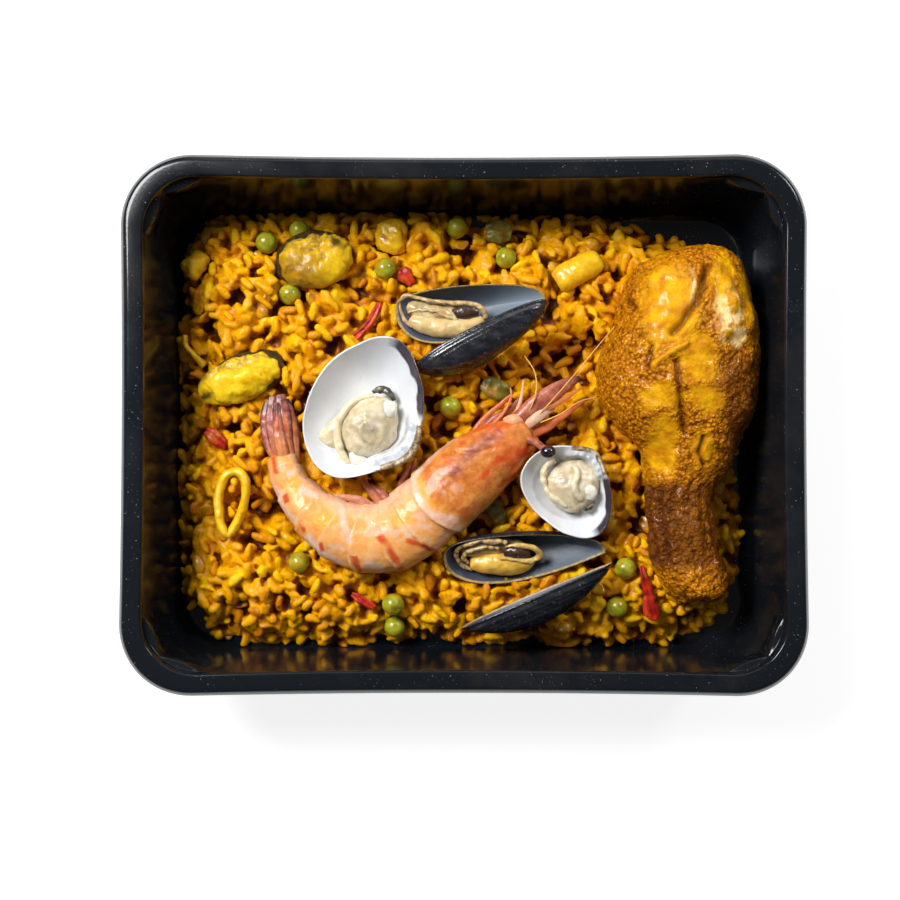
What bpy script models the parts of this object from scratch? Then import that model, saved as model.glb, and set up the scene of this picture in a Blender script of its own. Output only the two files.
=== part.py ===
"""Seafood and chicken paella in a black oven-proof meal tray, as closed solids in metres.

+X runs along the tray's long side, +Y along its short side and +Z up. The origin is the middle of the tray's
underside. Lengths below are in millimetres, which MM turns into metres, and angles are in degrees.
"""

import math

import bmesh
import bpy
from mathutils import Matrix, Vector, noise

MM = 0.001
GAP = 0.35  # clearance between pieces that touch
UP = Vector((0, 0, 1))

# Tray: a thermoformed shell. Its sizes are those of the side that faces the food.
TRAY_LENGTH = 228.5
TRAY_WIDTH = 180.5
TRAY_HEIGHT = 50.0
WALL = 0.8
FLANGE = 7.6
SKIRT_DROP = 3.0
SKIRT_FLARE = 0.9
BOW_X = 1.1  # how far the middle of each short side curves in
BOW_Y = 1.8  # and of each long side
DRAFT = 4.3
FLOOR_FILLET = 4.0
MOUTH_CORNER = 19.0
FLOOR_CORNER = 17.0
LUG_TOP = 46.5
LUG_BOTTOM = 33.0
MOUTH_X = TRAY_LENGTH / 2 - FLANGE
MOUTH_Y = TRAY_WIDTH / 2 - FLANGE

# Rice bed: a low mound whose edge wanders, touching the left and front walls and leaving the back corner bare
RICE_FLOOR = WALL + GAP
RICE_MIDDLE = 19.5
RICE_EDGE = 10.5
RICE_SHOULDER = 26.0
RICE_LUMP = 3.0
RICE_GRID = 8.8
RICE_OUTLINE = (
    (-101.6, 0), (-101.4, 45), (-97, 67), (-84, 76.5), (-45, 77.2), (0, 77.4), (46, 75), (74, 68.5), (90, 56),
    (95, 20), (95, -12), (98.5, -42), (93, -62), (81, -74), (45, -76), (0, -74.5), (-45, -75.5), (-84, -74),
    (-98, -61), (-101.2, -30),
)  # fmt: skip
RICE_WANDER = 2.2
# The valley between the upper mussel, the prawn's head and the drumstick
VALLEY = {"at": (34.0, 26.0), "radii": (24.0, 26.0), "deep": 5.0}


# ---------------------------------------------------------------- small tools


def smooth(t):
    """0 below 0, 1 above 1 and an even S between."""
    t = max(0.0, min(1.0, t))
    return t * t * (3 - 2 * t)


def spline(keys, t, closed=False):
    """Catmull-Rom through equally spaced keys (tuples of numbers), t from 0 to 1."""
    count = len(keys)
    at = (t % 1.0) * count if closed else max(0.0, min(1.0, t)) * (count - 1)
    i = int(at) if closed else min(int(at), count - 2)
    f = at - i
    if closed:
        near = [keys[(i + k) % count] for k in (-1, 0, 1, 2)]
    else:
        near = [keys[max(0, min(count - 1, i + k))] for k in (-1, 0, 1, 2)]
    return tuple(
        0.5 * (2 * b + (c - a) * f + (2 * a - 5 * b + 4 * c - d) * f**2 + (3 * b - a - 3 * c + d) * f**3)
        for a, b, c, d in zip(*near)
    )


def material(name, colour, roughness):
    made = bpy.data.materials.new(name)
    made.use_nodes = True
    shader = made.node_tree.nodes["Principled BSDF"]
    shader.inputs["Base Color"].default_value = (*colour, 1)
    shader.inputs["Roughness"].default_value = roughness
    return made


def place(name, mesh, collection, finish=None, where=None):
    """An object from a mesh in millimetres. where turns and moves it, also in millimetres."""
    mesh.transform(Matrix.Scale(MM, 4))
    obj = bpy.data.objects.new(name, mesh)
    collection.objects.link(obj)
    if finish:
        mesh.materials.append(finish)
    if where:
        obj.matrix_world = Matrix.Translation(where.to_translation() * MM) @ where.to_3x3().to_4x4()
    return obj


def pose(at, yaw=0.0, pitch=0.0, roll=0.0):
    """Local +X is turned to yaw and tipped up by pitch; roll is about local X."""
    return (
        Matrix.Translation(at)
        @ Matrix.Rotation(math.radians(yaw), 4, "Z")
        @ Matrix.Rotation(math.radians(-pitch), 4, "Y")
        @ Matrix.Rotation(math.radians(roll), 4, "X")
    )


def mesh_of(bm, name):
    bmesh.ops.recalc_face_normals(bm, faces=bm.faces[:])
    mesh = bpy.data.meshes.new(name)
    bm.to_mesh(mesh)
    bm.free()
    mesh.shade_smooth()
    mesh.set_sharp_from_angle(angle=math.radians(50))
    return mesh


def facing_up(mesh):
    if sum(p.normal.z * p.area for p in mesh.polygons) < 0:
        mesh.flip_normals()
    return mesh


def loft(rings, looped=False, capped=(True, True)):
    """A skin through closed rings of points, with a flat face over each end that is capped."""
    bm = bmesh.new()
    rows = [[bm.verts.new(p) for p in ring] for ring in rings]
    for a, b in list(zip(rows, rows[1:])) + ([(rows[-1], rows[0])] if looped else []):
        for j in range(len(a)):
            k = (j + 1) % len(a)
            bm.faces.new((a[j], a[k], b[k], b[j]))
    if capped[0] and not looped:
        bm.faces.new(rows[0][::-1])
    if capped[1] and not looped:
        bm.faces.new(rows[-1])
    return bm


def tube_rings(path, widths, heights, around, looped=False, up=UP):
    """Elliptic sections square to a path; widths lie level and heights along up."""
    rings = []
    count = len(path)
    for i, p in enumerate(path):
        if looped:
            along = path[(i + 1) % count] - path[i - 1]
        else:
            along = path[min(i + 1, count - 1)] - path[max(i - 1, 0)]
        side = along.cross(up).normalized()
        top = side.cross(along).normalized()
        turns = (2 * math.pi * j / around for j in range(around))
        rings.append([p + side * widths[i] * math.cos(a) + top * heights[i] * math.sin(a) for a in turns])
    return rings


def tube(keys, steps, around, rise=0.0):
    """A closed tapered tube through keys of (x, y, z, half width, half height)."""
    samples = [spline(keys, i / steps) for i in range(steps + 1)]
    path = [Vector((x, y, z + rise)) for x, y, z, _, _ in samples]
    return loft(tube_rings(path, [s[3] for s in samples], [s[4] for s in samples], around))


def ball(radii, rings=7, around=10):
    bm = bmesh.new()
    bmesh.ops.create_uvsphere(bm, u_segments=around, v_segments=rings, radius=1.0)
    bmesh.ops.transform(bm, matrix=Matrix.Diagonal((*radii, 1)), verts=bm.verts[:])
    return bm


def solidify(obj, thickness, offset=-1.0):
    shell = obj.modifiers.new("Thickness", "SOLIDIFY")
    shell.thickness = thickness * MM
    shell.offset = offset
    shell.use_even_offset = True


def helper(obj):
    obj.hide_render = True
    obj.display_type = "WIRE"
    return obj


def boolean(obj, operation, other):
    cut = obj.modifiers.new(operation.title(), "BOOLEAN")
    cut.operation = operation
    cut.solver = "EXACT"
    if isinstance(other, bpy.types.Collection):
        cut.operand_type = "COLLECTION"
        cut.collection = other
    else:
        cut.object = other


def points_of(*objects):
    """Points, in millimetres in the world, of the finished objects."""
    bpy.context.view_layer.update()
    graph = bpy.context.evaluated_depsgraph_get()
    found = []
    for obj in objects:
        seen = obj.evaluated_get(graph)
        mesh = seen.to_mesh()
        found += [obj.matrix_world @ v.co / MM for v in mesh.vertices]
        seen.to_mesh_clear()
    return found


def hull_sides(points, flatten):
    """Normals of the convex hull of these points, where sides that meet at less than flatten degrees count as one."""
    bm = bmesh.new()
    for p in points:
        bm.verts.new(p)
    made = bmesh.ops.convex_hull(bm, input=bm.verts[:])
    spare = {v for v in made["geom_interior"] + made["geom_unused"] if isinstance(v, bmesh.types.BMVert)}
    bmesh.ops.delete(bm, geom=sorted(spare, key=lambda v: v.index), context="VERTS")
    bmesh.ops.dissolve_limit(bm, angle_limit=math.radians(flatten), verts=bm.verts[:], edges=bm.edges[:])
    bmesh.ops.recalc_face_normals(bm, faces=bm.faces[:])
    normals = [f.normal.copy() for f in bm.faces]
    bm.free()
    return normals


def icosahedron_sides():
    bm = bmesh.new()
    bmesh.ops.create_icosphere(bm, subdivisions=1, radius=1.0)
    normals = [v.co.normalized() for v in bm.verts]
    bm.free()
    return normals


def hollow(name, points, collection, flatten=None):
    """The dent that a topping presses into the rice: a convex body that clears all of these points.

    Its sides face as an icosahedron's corners do or, where flatten is given, as the topping's own hull does.
    """
    bm = bmesh.new()
    bmesh.ops.create_cube(bm, size=400.0)
    for out in hull_sides(points, flatten) if flatten else icosahedron_sides():
        reach = max(p.dot(out) for p in points) + GAP
        geom = bm.verts[:] + bm.edges[:] + bm.faces[:]
        cut = bmesh.ops.bisect_plane(bm, geom=geom, plane_co=out * reach, plane_no=out, clear_outer=True)
        rim = [e for e in cut["geom_cut"] if isinstance(e, bmesh.types.BMEdge)]
        if rim:
            bmesh.ops.contextual_create(bm, geom=rim)
    bmesh.ops.remove_doubles(bm, verts=bm.verts[:], dist=0.05)
    return helper(place("hollow_" + name, mesh_of(bm, "hollow_" + name), collection))


def in_runs(rings, size):
    """A loft's points in overlapping runs of rings, so that a bent body presses several convex dents."""
    for start in range(0, len(rings) - 1, size):
        yield [p for ring in rings[start : start + size + 1] for p in ring]


# ---------------------------------------------------------------- tray


def tray_ring(out_x, out_y, corner, z, lug=0.0, steps=6, between=2):
    """A level ring of the tray. Where lug is 1, each corner runs along two flat chords instead of its arc."""
    half_x, half_y = MOUTH_X + out_x, MOUTH_Y + out_y
    ring = []
    for quarter in range(4):
        middle = Vector(((1, -1, -1, 1)[quarter] * (half_x - corner), (1, 1, -1, -1)[quarter] * (half_y - corner), z))
        for i in range(steps + 1):
            angle = math.radians(90 * i / steps)
            chord = math.cos(math.radians(22.5)) / math.cos(angle % (math.pi / 4) - math.radians(22.5))
            turn = angle + quarter * math.pi / 2
            reach = corner * (1 + (chord - 1) * lug)
            ring.append(middle + Vector((math.cos(turn), math.sin(turn), 0)) * reach)
        last = ring[-1]
        following_start = Vector((-last.x, last.y, z) if quarter % 2 == 0 else (last.x, -last.y, z))
        ring += [last.lerp(following_start, (k + 1) / (between + 1)) for k in range(between)]
    bow = z / TRAY_HEIGHT
    for p in ring:
        x, y = p.x / half_x, p.y / half_y
        p.x -= BOW_X * bow * x * (1 - y * y)
        p.y -= BOW_Y * bow * y * (1 - x * x)
    return ring


def wall_ring(z, lug=0.0):
    share = (z - WALL) / (TRAY_HEIGHT - WALL)
    inset = DRAFT * (1 - share)
    return tray_ring(-inset, -inset, FLOOR_CORNER + (MOUTH_CORNER - FLOOR_CORNER) * share, z, lug)


def make_tray(collection, finish):
    """The food side as an open skin (floor, fillet, drafted wall with stacking lugs, flange, skirt), then thickened."""
    rings = []
    for angle in (0, math.pi / 4):
        inset = FLOOR_FILLET * (1 - math.sin(angle))
        z = WALL + FLOOR_FILLET * (1 - math.cos(angle))
        rings.append(tray_ring(-DRAFT - inset, -DRAFT - inset, FLOOR_CORNER - inset, z))
    rings += [wall_ring(WALL + FLOOR_FILLET), wall_ring(LUG_BOTTOM), wall_ring(LUG_TOP - 0.5, 1.0)]
    rings += [wall_ring(LUG_TOP), wall_ring(TRAY_HEIGHT)]
    for out, drop in ((FLANGE - 1.8, 0), (FLANGE - SKIRT_FLARE, 0.9), (FLANGE, SKIRT_DROP)):
        rings.append(tray_ring(out, out, MOUTH_CORNER + out * 0.75, TRAY_HEIGHT - drop))
    tray = place("tray", facing_up(mesh_of(loft(rings, capped=(True, False)), "tray")), collection, finish)
    solidify(tray, WALL)
    return tray


# ---------------------------------------------------------------- rice


def rice_height(x, y):
    """Height of the bed: a lumpy mound that thins towards the walls, with a valley in its right half."""
    to_wall = min(MOUTH_X - DRAFT - abs(x), MOUTH_Y - DRAFT - abs(y))
    mound = RICE_EDGE + (RICE_MIDDLE - RICE_EDGE) * smooth(to_wall / RICE_SHOULDER)
    lump = noise.noise(Vector((x / 13, y / 13, 4.2))) + 0.5 * noise.noise(Vector((x / 6, y / 6, 9.1)))
    off = math.hypot(*((p - c) / r for p, c, r in zip((x, y), VALLEY["at"], VALLEY["radii"])))
    return mound + RICE_LUMP * lump - VALLEY["deep"] * smooth(1 - off)


def rice_outline(count):
    """The bed's edge seen from above, wandering in and out as loose grains do."""
    ring = []
    for i in range(count):
        x, y = spline(RICE_OUTLINE, i / count, closed=True)
        inward = RICE_WANDER * (0.5 + 0.5 * noise.noise(Vector((x / 9, y / 9, 1.7)))) / math.hypot(x, y)
        ring.append(Vector((x * (1 - inward), y * (1 - inward), 0)))
    return ring


def make_rice(collection, helpers, hollows, finish):
    """A block whose top is the lumpy height field, trimmed to the bed's edge and dented by the toppings."""
    outline = rice_outline(48)
    levels = ((RICE_FLOOR, 4.6), (4.5, 1.2), (40.0, 0.0))
    rings = [[Vector((p.x * (1 - d / MOUTH_X), p.y * (1 - d / MOUTH_Y), z)) for p in outline] for z, d in levels]
    rice = place("rice_bed", mesh_of(loft(rings), "rice_bed"), collection, finish)

    columns, rows = round(2 * MOUTH_X / RICE_GRID), round(2 * MOUTH_Y / RICE_GRID)
    bm = bmesh.new()
    bmesh.ops.create_grid(bm, x_segments=columns, y_segments=rows, size=1.0)
    for v in bm.verts:
        x, y = v.co.x * MOUTH_X, v.co.y * MOUTH_Y
        v.co = Vector((x, y, rice_height(x, y)))
    edge = [e for e in bm.edges if e.is_boundary]
    down = bmesh.ops.extrude_edge_only(bm, edges=edge)["geom"]
    for v in down:
        if isinstance(v, bmesh.types.BMVert):
            v.co.z = -5.0
    bmesh.ops.contextual_create(bm, geom=[e for e in down if isinstance(e, bmesh.types.BMEdge)])
    bulk = helper(place("rice_bulk", mesh_of(bm, "rice_bulk"), helpers))
    boolean(rice, "INTERSECT", bulk)
    boolean(rice, "DIFFERENCE", hollows)
    return rice


# ---------------------------------------------------------------- chicken drumstick

# (y, left x, right x, middle z, half height), from the meaty end to the knuckle
DRUMSTICK = (
    (62.1, 77.1, 87.6, 27.0, 4.0),
    (54.4, 61.1, 95.9, 26.0, 16.0),
    (37.4, 53.5, 100.1, 26.0, 21.0),
    (19.4, 47.9, 101.7, 26.0, 21.6),
    (6.4, 49.7, 99.3, 26.0, 19.6),
    (-7.6, 61.7, 94.5, 25.2, 15.4),
    (-24.6, 63.1, 86.7, 24.5, 11.6),
    (-42.6, 64.9, 89.9, 24.5, 11.6),
    (-55.6, 69.7, 89.3, 24.0, 9.4),
    (-60.3, 75.1, 82.5, 23.5, 3.6),
)


def drumstick_rings(steps, around, bumps=1.0):
    rings = []
    for i in range(steps + 1):
        y, left, right, z, tall = spline(DRUMSTICK, i / steps)
        middle = Vector(((left + right) / 2, y, z))
        ring = []
        for j in range(around):
            a = 2 * math.pi * j / around
            out = Vector((math.cos(a) * (right - left) / 2, 0, math.sin(a) * tall))
            ring.append(middle + out * (1 + 0.035 * bumps * noise.noise((middle + out) / 9)))
        rings.append(ring)
    return rings


def make_drumstick(collection, hollows, finish):
    rings = drumstick_rings(15, 14)
    for i, run in enumerate(in_runs(rings, 5)):
        hollow(f"drumstick_{i}", run, hollows, flatten=8)
    return place("drumstick", mesh_of(loft(rings), "drumstick"), collection, finish)


# ---------------------------------------------------------------- prawn

# (x, y, z, half width across back and belly, half thickness), from the tail fan's tip to the front of the head
PRAWN = (
    (-65.3, 13.4, 21.5, 4.0, 1.5),
    (-64.3, 3.4, 21.5, 6.2, 2.6),
    (-63.3, -8.6, 22.0, 5.4, 4.4),
    (-59.3, -20.2, 23.0, 5.9, 5.4),
    (-49.5, -31.6, 24.5, 8.8, 7.4),
    (-36.5, -38.4, 25.0, 11.0, 8.8),
    (-22.3, -36.6, 25.5, 12.2, 9.4),
    (-9.9, -26.6, 26.0, 12.2, 9.6),
    (3.1, -15.2, 26.8, 12.2, 9.4),
    (15.1, -5.8, 27.8, 9.0, 7.4),
    (23.1, 0.2, 28.5, 4.0, 3.8),
)
PLATE_ENDS = (0.27, 0.36, 0.45, 0.54, 0.62, 0.70)  # where the front edge of each shell plate stands proud
PLATE_LENGTH = 0.09
PLATE_STEP = 0.07
# Limbs, as keys of (x, y, z, half width, half height)
PRAWN_LIMBS = {
    "upper_scale": ((18.1, 0.9, 30.0, 3.2, 1.8), (26.1, 9.0, 31.0, 3.4, 1.2), (34.1, 15.0, 31.5, 2.4, 0.9), (40.5, 17.2, 31.0, 0.6, 0.5)),
    "lower_scale": ((20.1, -3.1, 27.5, 2.4, 1.8), (28.1, -0.2, 27.5, 1.9, 1.1), (36.1, 5.0, 27.0, 1.3, 0.8), (43.1, 10.2, 26.5, 0.5, 0.5)),
    "front_legs": ((5.1, -3.6, 26.0, 2.2, 2.0), (11.1, 5.0, 26.0, 1.6, 1.2), (20.3, 16.0, 27.5, 0.5, 0.5)),
    "eye_stalk": ((18.1, -4.2, 29.5, 1.8, 1.8), (23.6, -5.2, 33.0, 1.3, 1.3), (27.7, -8.2, 36.4, 1.2, 1.2)),
    "swimmeret_near_tail": ((-28.9, -30.6, 22.0, 1.9, 1.4), (-34.9, -26.2, 21.5, 1.3, 0.9), (-41.4, -25.2, 21.5, 0.6, 0.5)),
    "swimmeret_middle": ((-24.4, -29.1, 22.0, 2.4, 1.6), (-26.4, -23.2, 21.0, 1.8, 1.1), (-29.4, -21.0, 20.5, 0.7, 0.5)),
    "swimmeret_near_head": ((-14.9, -21.1, 22.5, 2.2, 1.6), (-16.5, -14.6, 21.5, 1.5, 1.0), (-15.9, -9.2, 20.8, 0.6, 0.5)),
}  # fmt: skip
EYE_AT = (28.6, -9.0, 37.0)
EYE_RADIUS = 2.2


def prawn_rings(steps, around):
    samples = [spline(PRAWN, i / steps) for i in range(steps + 1)]
    grow = []
    for i in range(steps + 1):
        past = [i / steps - end for end in PLATE_ENDS if 0 <= i / steps - end < PLATE_LENGTH]
        grow.append(1 + PLATE_STEP * (1 - min(past) / PLATE_LENGTH) if past else 1)
    widths = [s[3] * g for s, g in zip(samples, grow)]
    heights = [s[4] * g for s, g in zip(samples, grow)]
    return tube_rings([Vector(s[:3]) for s in samples], widths, heights, around)


def make_prawn(collection, helpers, hollows, finish):
    rings = prawn_rings(25, 12)
    for i, run in enumerate(in_runs(rings, 4)):
        hollow(f"prawn_{i}", run, hollows, flatten=10)
    prawn = place("prawn", mesh_of(loft(rings), "prawn"), collection, finish)
    for name, keys in PRAWN_LIMBS.items():
        limb = helper(place("prawn_" + name, mesh_of(tube(keys, 3, 5), name), helpers))
        boolean(prawn, "UNION", limb)
        hollow("prawn_" + name, points_of(limb), hollows)
    eye = place("prawn_eye", mesh_of(ball([EYE_RADIUS] * 3, 5, 8), "prawn_eye"), helpers, None, pose(EYE_AT))
    boolean(prawn, "UNION", helper(eye))
    return prawn


# ---------------------------------------------------------------- shells


def dish(outline, centre, deep, rings, ledge=None, bowl=2.3):
    """The inner face of a shell, as an open skin that opens upwards. ledge(share, index) lifts part of it level."""
    bm = bmesh.new()
    middle = bm.verts.new((*centre, -deep))
    around = len(outline)
    before = None
    for i in range(1, rings + 1):
        share = math.sin(math.pi / 2 * i / rings)
        row = []
        for j, (x, y) in enumerate(outline):
            lift = ledge(share, j) if ledge else 0
            z = -deep * (1 - share**bowl) * (1 - lift)
            row.append(bm.verts.new((centre[0] + (x - centre[0]) * share, centre[1] + (y - centre[1]) * share, z)))
        for j in range(around):
            k = (j + 1) % around
            bm.faces.new((before[j], row[j], row[k], before[k]) if before else (middle, row[j], row[k]))
        before = row
    return bm


def shell_and_bed(name, skin, thickness, where, collection, helpers, finish):
    """The valve, and a thicker copy of it, a clearance higher, that trims the meat which lies in it."""
    mesh = facing_up(mesh_of(skin, name))
    bed = helper(place(name + "_bed", mesh.copy(), helpers, None, where))
    solidify(bed, 5.0, -1 + 2 * GAP / 5.0)
    valve = place(name, mesh, collection, finish, where)
    solidify(valve, thickness)
    return valve, bed


CLAM_SHELL = 1.3
# Local +X points to the hinge. The reaches are from the middle to the rim, every 36 degrees from the hinge on.
CLAMS = {
    "clam_large": {
        "at": (-34.6, 6.3, 32.5),
        "turn": (-45, 4, 3),
        "reaches": (23.6, 20.8, 21.8, 25.6, 20.6, 18.2, 18.4, 22.0, 25.3, 22.0),
        "deep": 12.0,
    },
    "clam_small": {
        "at": (35.4, -21.8, 33.0),
        "turn": (53, 3, 4),
        "reaches": (15.8, 14.6, 15.8, 16.2, 13.6, 12.4, 14.6, 18.3, 15.4, 13.8),
        "deep": 8.6,
    },
}


def clam_outline(reaches, around):
    ring = []
    for j in range(around):
        (reach,) = spline([(r,) for r in reaches], j / around, closed=True)
        turn = 2 * math.pi * j / around
        ring.append((reach * math.cos(turn), reach * math.sin(turn)))
    return ring


def make_clam(name, collection, helpers, hollows, shell_finish, meat_finish):
    """One valve with its hinge ledge and beak, and the meat in it with its foot pointing away from the hinge."""
    clam = CLAMS[name]
    where = pose(clam["at"], *clam["turn"])
    around = 20
    size = clam["reaches"][0] / 23.6

    def ledge(share, j):
        return smooth((math.cos(2 * math.pi * j / around) - 0.75) / 0.15) * smooth((share - 0.7) / 0.12)

    skin = dish(clam_outline(clam["reaches"], around), (0, 0), clam["deep"], 4, ledge)
    valve, bed = shell_and_bed(name + "_shell", skin, CLAM_SHELL, where, collection, helpers, shell_finish)
    beak_at = where @ pose((21.6 * size, 0, -3.6 * size))
    beak = place(name + "_beak", mesh_of(ball((3.6 * size, 6.4 * size, 3.0 * size), 5, 8), name), helpers, None, beak_at)
    boolean(valve, "UNION", helper(beak))

    body_at = where @ pose((3.0 * size, -1.0 * size, -clam["deep"] * 0.52), 70)
    body = ball((11.0 * size, 9.0 * size, 6.0 * size), 6, 12)
    meat = place(name + "_meat", mesh_of(body, name + "_meat"), collection, meat_finish, body_at)
    deep = -clam["deep"] * 0.62
    keys = ((0, -3, deep, 6, 3), (-8, -6, deep, 4.5, 2.4), (-14.5, -9, deep + 2, 1.6, 1.2))
    foot = tube([tuple(v * size if i != 2 else v for i, v in enumerate(key)) for key in keys], 3, 6)
    boolean(meat, "UNION", helper(place(name + "_foot", mesh_of(foot, name + "_foot"), helpers, None, where)))
    boolean(meat, "DIFFERENCE", bed)
    hollow(name, points_of(valve, meat), hollows, flatten=14)


MUSSEL_SHELL = 1.0
# at is the hinge end and local +X runs to the round end. side is 1 where the bulging edge is on local +Y.
MUSSELS = {
    "mussel_upper_valve_a": {"at": (28.0, 43.9, 26.0), "turn": (-176.5, -3, -6), "side": 1, "long": 51.5, "edges": (12.4, 6.4), "deep": 8.0},
    "mussel_upper_valve_b": {"at": (28.8, 42.2, 31.2), "turn": (-153.5, -2, 116), "side": -1, "long": 49.8, "edges": (10.6, 6.4), "deep": 8.0},
    "mussel_lower_valve_a": {"at": (48.8, -43.4, 25.5), "turn": (-178.0, -3, -20), "side": 1, "long": 55.5, "edges": (10.8, 7.6), "deep": 8.5},
    "mussel_lower_valve_b": {"at": (50.2, -45.8, 30.5), "turn": (-156.2, -3, 78), "side": -1, "long": 55.5, "edges": (10.6, 6.6), "deep": 9.0},
}  # fmt: skip


def mussel_outline(mussel, around):
    """Pointed at the hinge. The bulging edge is widest past the middle and the other one is nearly straight."""
    bulging, straight = mussel["edges"]

    def swell(t, near, far):
        top = near / (near + far)
        return (t / top) ** near * ((1 - t) / (1 - top)) ** far

    ring = []
    for j in range(around):
        turn = 2 * math.pi * j / around
        t = (1 - math.cos(turn)) / 2
        across = bulging * swell(t, 1.0, 0.42) if turn < math.pi else -straight * swell(t, 0.36, 0.36)
        ring.append((mussel["long"] * t, across * mussel["side"]))
    return ring


# Meat in valve a, in that valve's frame: keys of (x, y, z, half width, half height) from the hinge to the round end
MUSSEL_MEATS = {
    "mussel_upper": {
        "keys": ((21.0, 2.0, -5.2, 2.0, 1.6), (29.0, 2.6, -4.6, 5.6, 4.0), (39.0, 2.4, -3.8, 7.4, 4.4), (48.6, 1.4, -2.8, 2.6, 1.8)),
        "cavity": (29.5, 1.4, 0.6),
    },
    "mussel_lower": {
        "keys": ((21.5, 0.6, -5.4, 2.0, 1.6), (29.0, 1.8, -5.0, 5.4, 3.8), (41.0, 1.8, -4.2, 6.6, 4.0), (50.6, 0.8, -3.0, 2.4, 1.8)),
        "cavity": (30.0, -0.8, -0.2),
    },
}  # fmt: skip
CAVITY_RADII = (3.6, 2.4, 3.0)


def make_mussel(name, collection, helpers, hollows, shell_finish, meat_finish):
    for valve_name in (name + "_valve_a", name + "_valve_b"):
        mussel = MUSSELS[valve_name]
        where = pose(mussel["at"], *mussel["turn"])
        centre = (0.52 * mussel["long"], 0.12 * mussel["side"] * mussel["edges"][0])
        skin = dish(mussel_outline(mussel, 18), centre, mussel["deep"], 4, bowl=2.0)
        valve, bed = shell_and_bed(valve_name, skin, MUSSEL_SHELL, where, collection, helpers, shell_finish)
        hollow(valve_name, points_of(valve), hollows, flatten=12)
        if valve_name.endswith("b"):
            continue
        meat_keys = MUSSEL_MEATS[name]["keys"]
        meat = place(name + "_meat", mesh_of(tube(meat_keys, 6, 9), name + "_meat"), collection, meat_finish, where)
        boolean(meat, "DIFFERENCE", bed)
        cavity_at = where @ pose(MUSSEL_MEATS[name]["cavity"])
        cavity = place(name + "_cavity", mesh_of(ball(CAVITY_RADII, 5, 8), name), helpers, None, cavity_at)
        boolean(meat, "DIFFERENCE", helper(cavity))


# ---------------------------------------------------------------- small toppings

# Lying pieces: finish, rings along, points around, and keys of (x, y, height over the rice, half width, half height)
SMALL = {
    "shelled_mussel_back": ("sauced_mussel", 8, 9, ((-63.9, 56.9, 1, 3.6, 2.4), (-58.9, 56.9, 2, 7.6, 4.6), (-50.9, 58.0, 2.5, 9.6, 5.4), (-43.5, 60.0, 2, 7.6, 4.6), (-38.7, 61.4, 1, 3.4, 2.4))),
    "shelled_mussel_left": ("sauced_mussel", 8, 9, ((-91.9, 11.4, 1, 2.6, 2.2), (-86.3, 13.6, 2, 6.4, 4.6), (-77.9, 16.8, 2.5, 7.9, 5.6), (-69.5, 20.0, 2, 6.2, 4.6), (-64.3, 21.6, 1, 2.6, 2.4))),
    "squid_chunk_right": ("squid", 5, 8, ((31.9, 50.0, 1, 3.4, 2.2), (36.1, 52.6, 1.5, 4.9, 3.8), (44.5, 57.2, 1.5, 4.4, 3.4), (48.3, 59.6, 1, 3.0, 2.0))),
    "squid_chunk_back": ("squid", 4, 8, ((-26.9, 62.0, 0.5, 3.6, 2.6), (-25.9, 65.8, 1.5, 5.4, 4.0), (-24.9, 70.4, 1.5, 5.2, 3.8), (-24.3, 73.4, 0.5, 3.2, 2.2))),
    "squid_chunk_left": ("squid", 4, 8, ((-97.7, 54.2, 1, 2.8, 2.0), (-96.1, 56.8, 2, 4.2, 3.2), (-93.5, 59.6, 2, 4.0, 3.0), (-91.5, 61.2, 1, 2.4, 1.8))),
    "squid_strip": ("squid", 7, 6, ((-98.5, 33.0, 2.4, 0.9, 1.4), (-98.3, 29.2, 2, 1.1, 1.6), (-95.3, 25.8, 1.6, 1.1, 1.6), (-91.3, 21.8, 1, 1.5, 1.5))),
    "pepper_behind_mussel": ("red_pepper", 3, 7, ((-21.7, 55.6, 0.5, 1.6, 1.2), (-20.5, 53.4, 1.2, 2.7, 1.6), (-17.7, 50.0, 0.5, 1.4, 1.0))),
    "pepper_strip_middle": ("red_pepper", 5, 6, ((-29.5, 44.0, 0.5, 1.0, 0.9), (-30.5, 40.4, 1, 1.5, 1.1), (-33.5, 35.4, 1.2, 1.4, 1.1), (-38.3, 31.0, 0.5, 1.8, 1.1))),
    "pepper_left": ("red_pepper", 4, 7, ((-90.5, -1.0, 0.5, 1.2, 1.0), (-88.1, -2.6, 1, 2.6, 1.6), (-85.3, -4.8, 1, 2.4, 1.6), (-82.9, -6.8, 0.5, 1.2, 1.0))),
    "pepper_strip_right": ("red_pepper", 6, 6, ((61.7, -47.4, 1, 0.7, 0.8), (62.7, -52.6, 1.6, 1.5, 1.1), (64.3, -58.2, 1.2, 1.9, 1.2), (65.3, -63.8, 1, 2.8, 1.4), (67.9, -66.6, 0.5, 1.4, 1.0))),
    "pepper_strip_front": ("red_pepper", 4, 6, ((-39.3, -58.2, 0.5, 0.8, 0.8), (-36.5, -59.8, 1, 1.7, 1.2), (-33.1, -62.0, 1, 1.5, 1.1), (-31.1, -63.4, 0.5, 0.8, 0.8))),
    "green_pepper_middle": ("green_pepper", 4, 8, ((8.1, -23.0, -1, 2.0, 1.4), (9.7, -26.6, 0, 3.3, 2.2), (11.9, -30.6, -0.5, 3.2, 2.0), (12.7, -34.0, -1.5, 1.6, 1.0))),
    "green_pepper_back": ("green_pepper", 4, 8, ((8.3, 68.8, 0.5, 2.8, 1.4), (11.1, 69.0, 1.2, 4.4, 2.4), (14.5, 68.8, 1.2, 4.2, 2.2), (17.1, 68.2, 0.5, 2.2, 1.2))),
    "green_pepper_shade": ("green_pepper", 4, 8, ((6.7, 15.8, 0.5, 2.6, 1.4), (9.7, 14.0, 1.2, 4.4, 2.2), (13.5, 12.0, 1, 4.2, 2.0), (16.3, 10.8, 0.5, 2.0, 1.2))),
}  # fmt: skip

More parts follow.
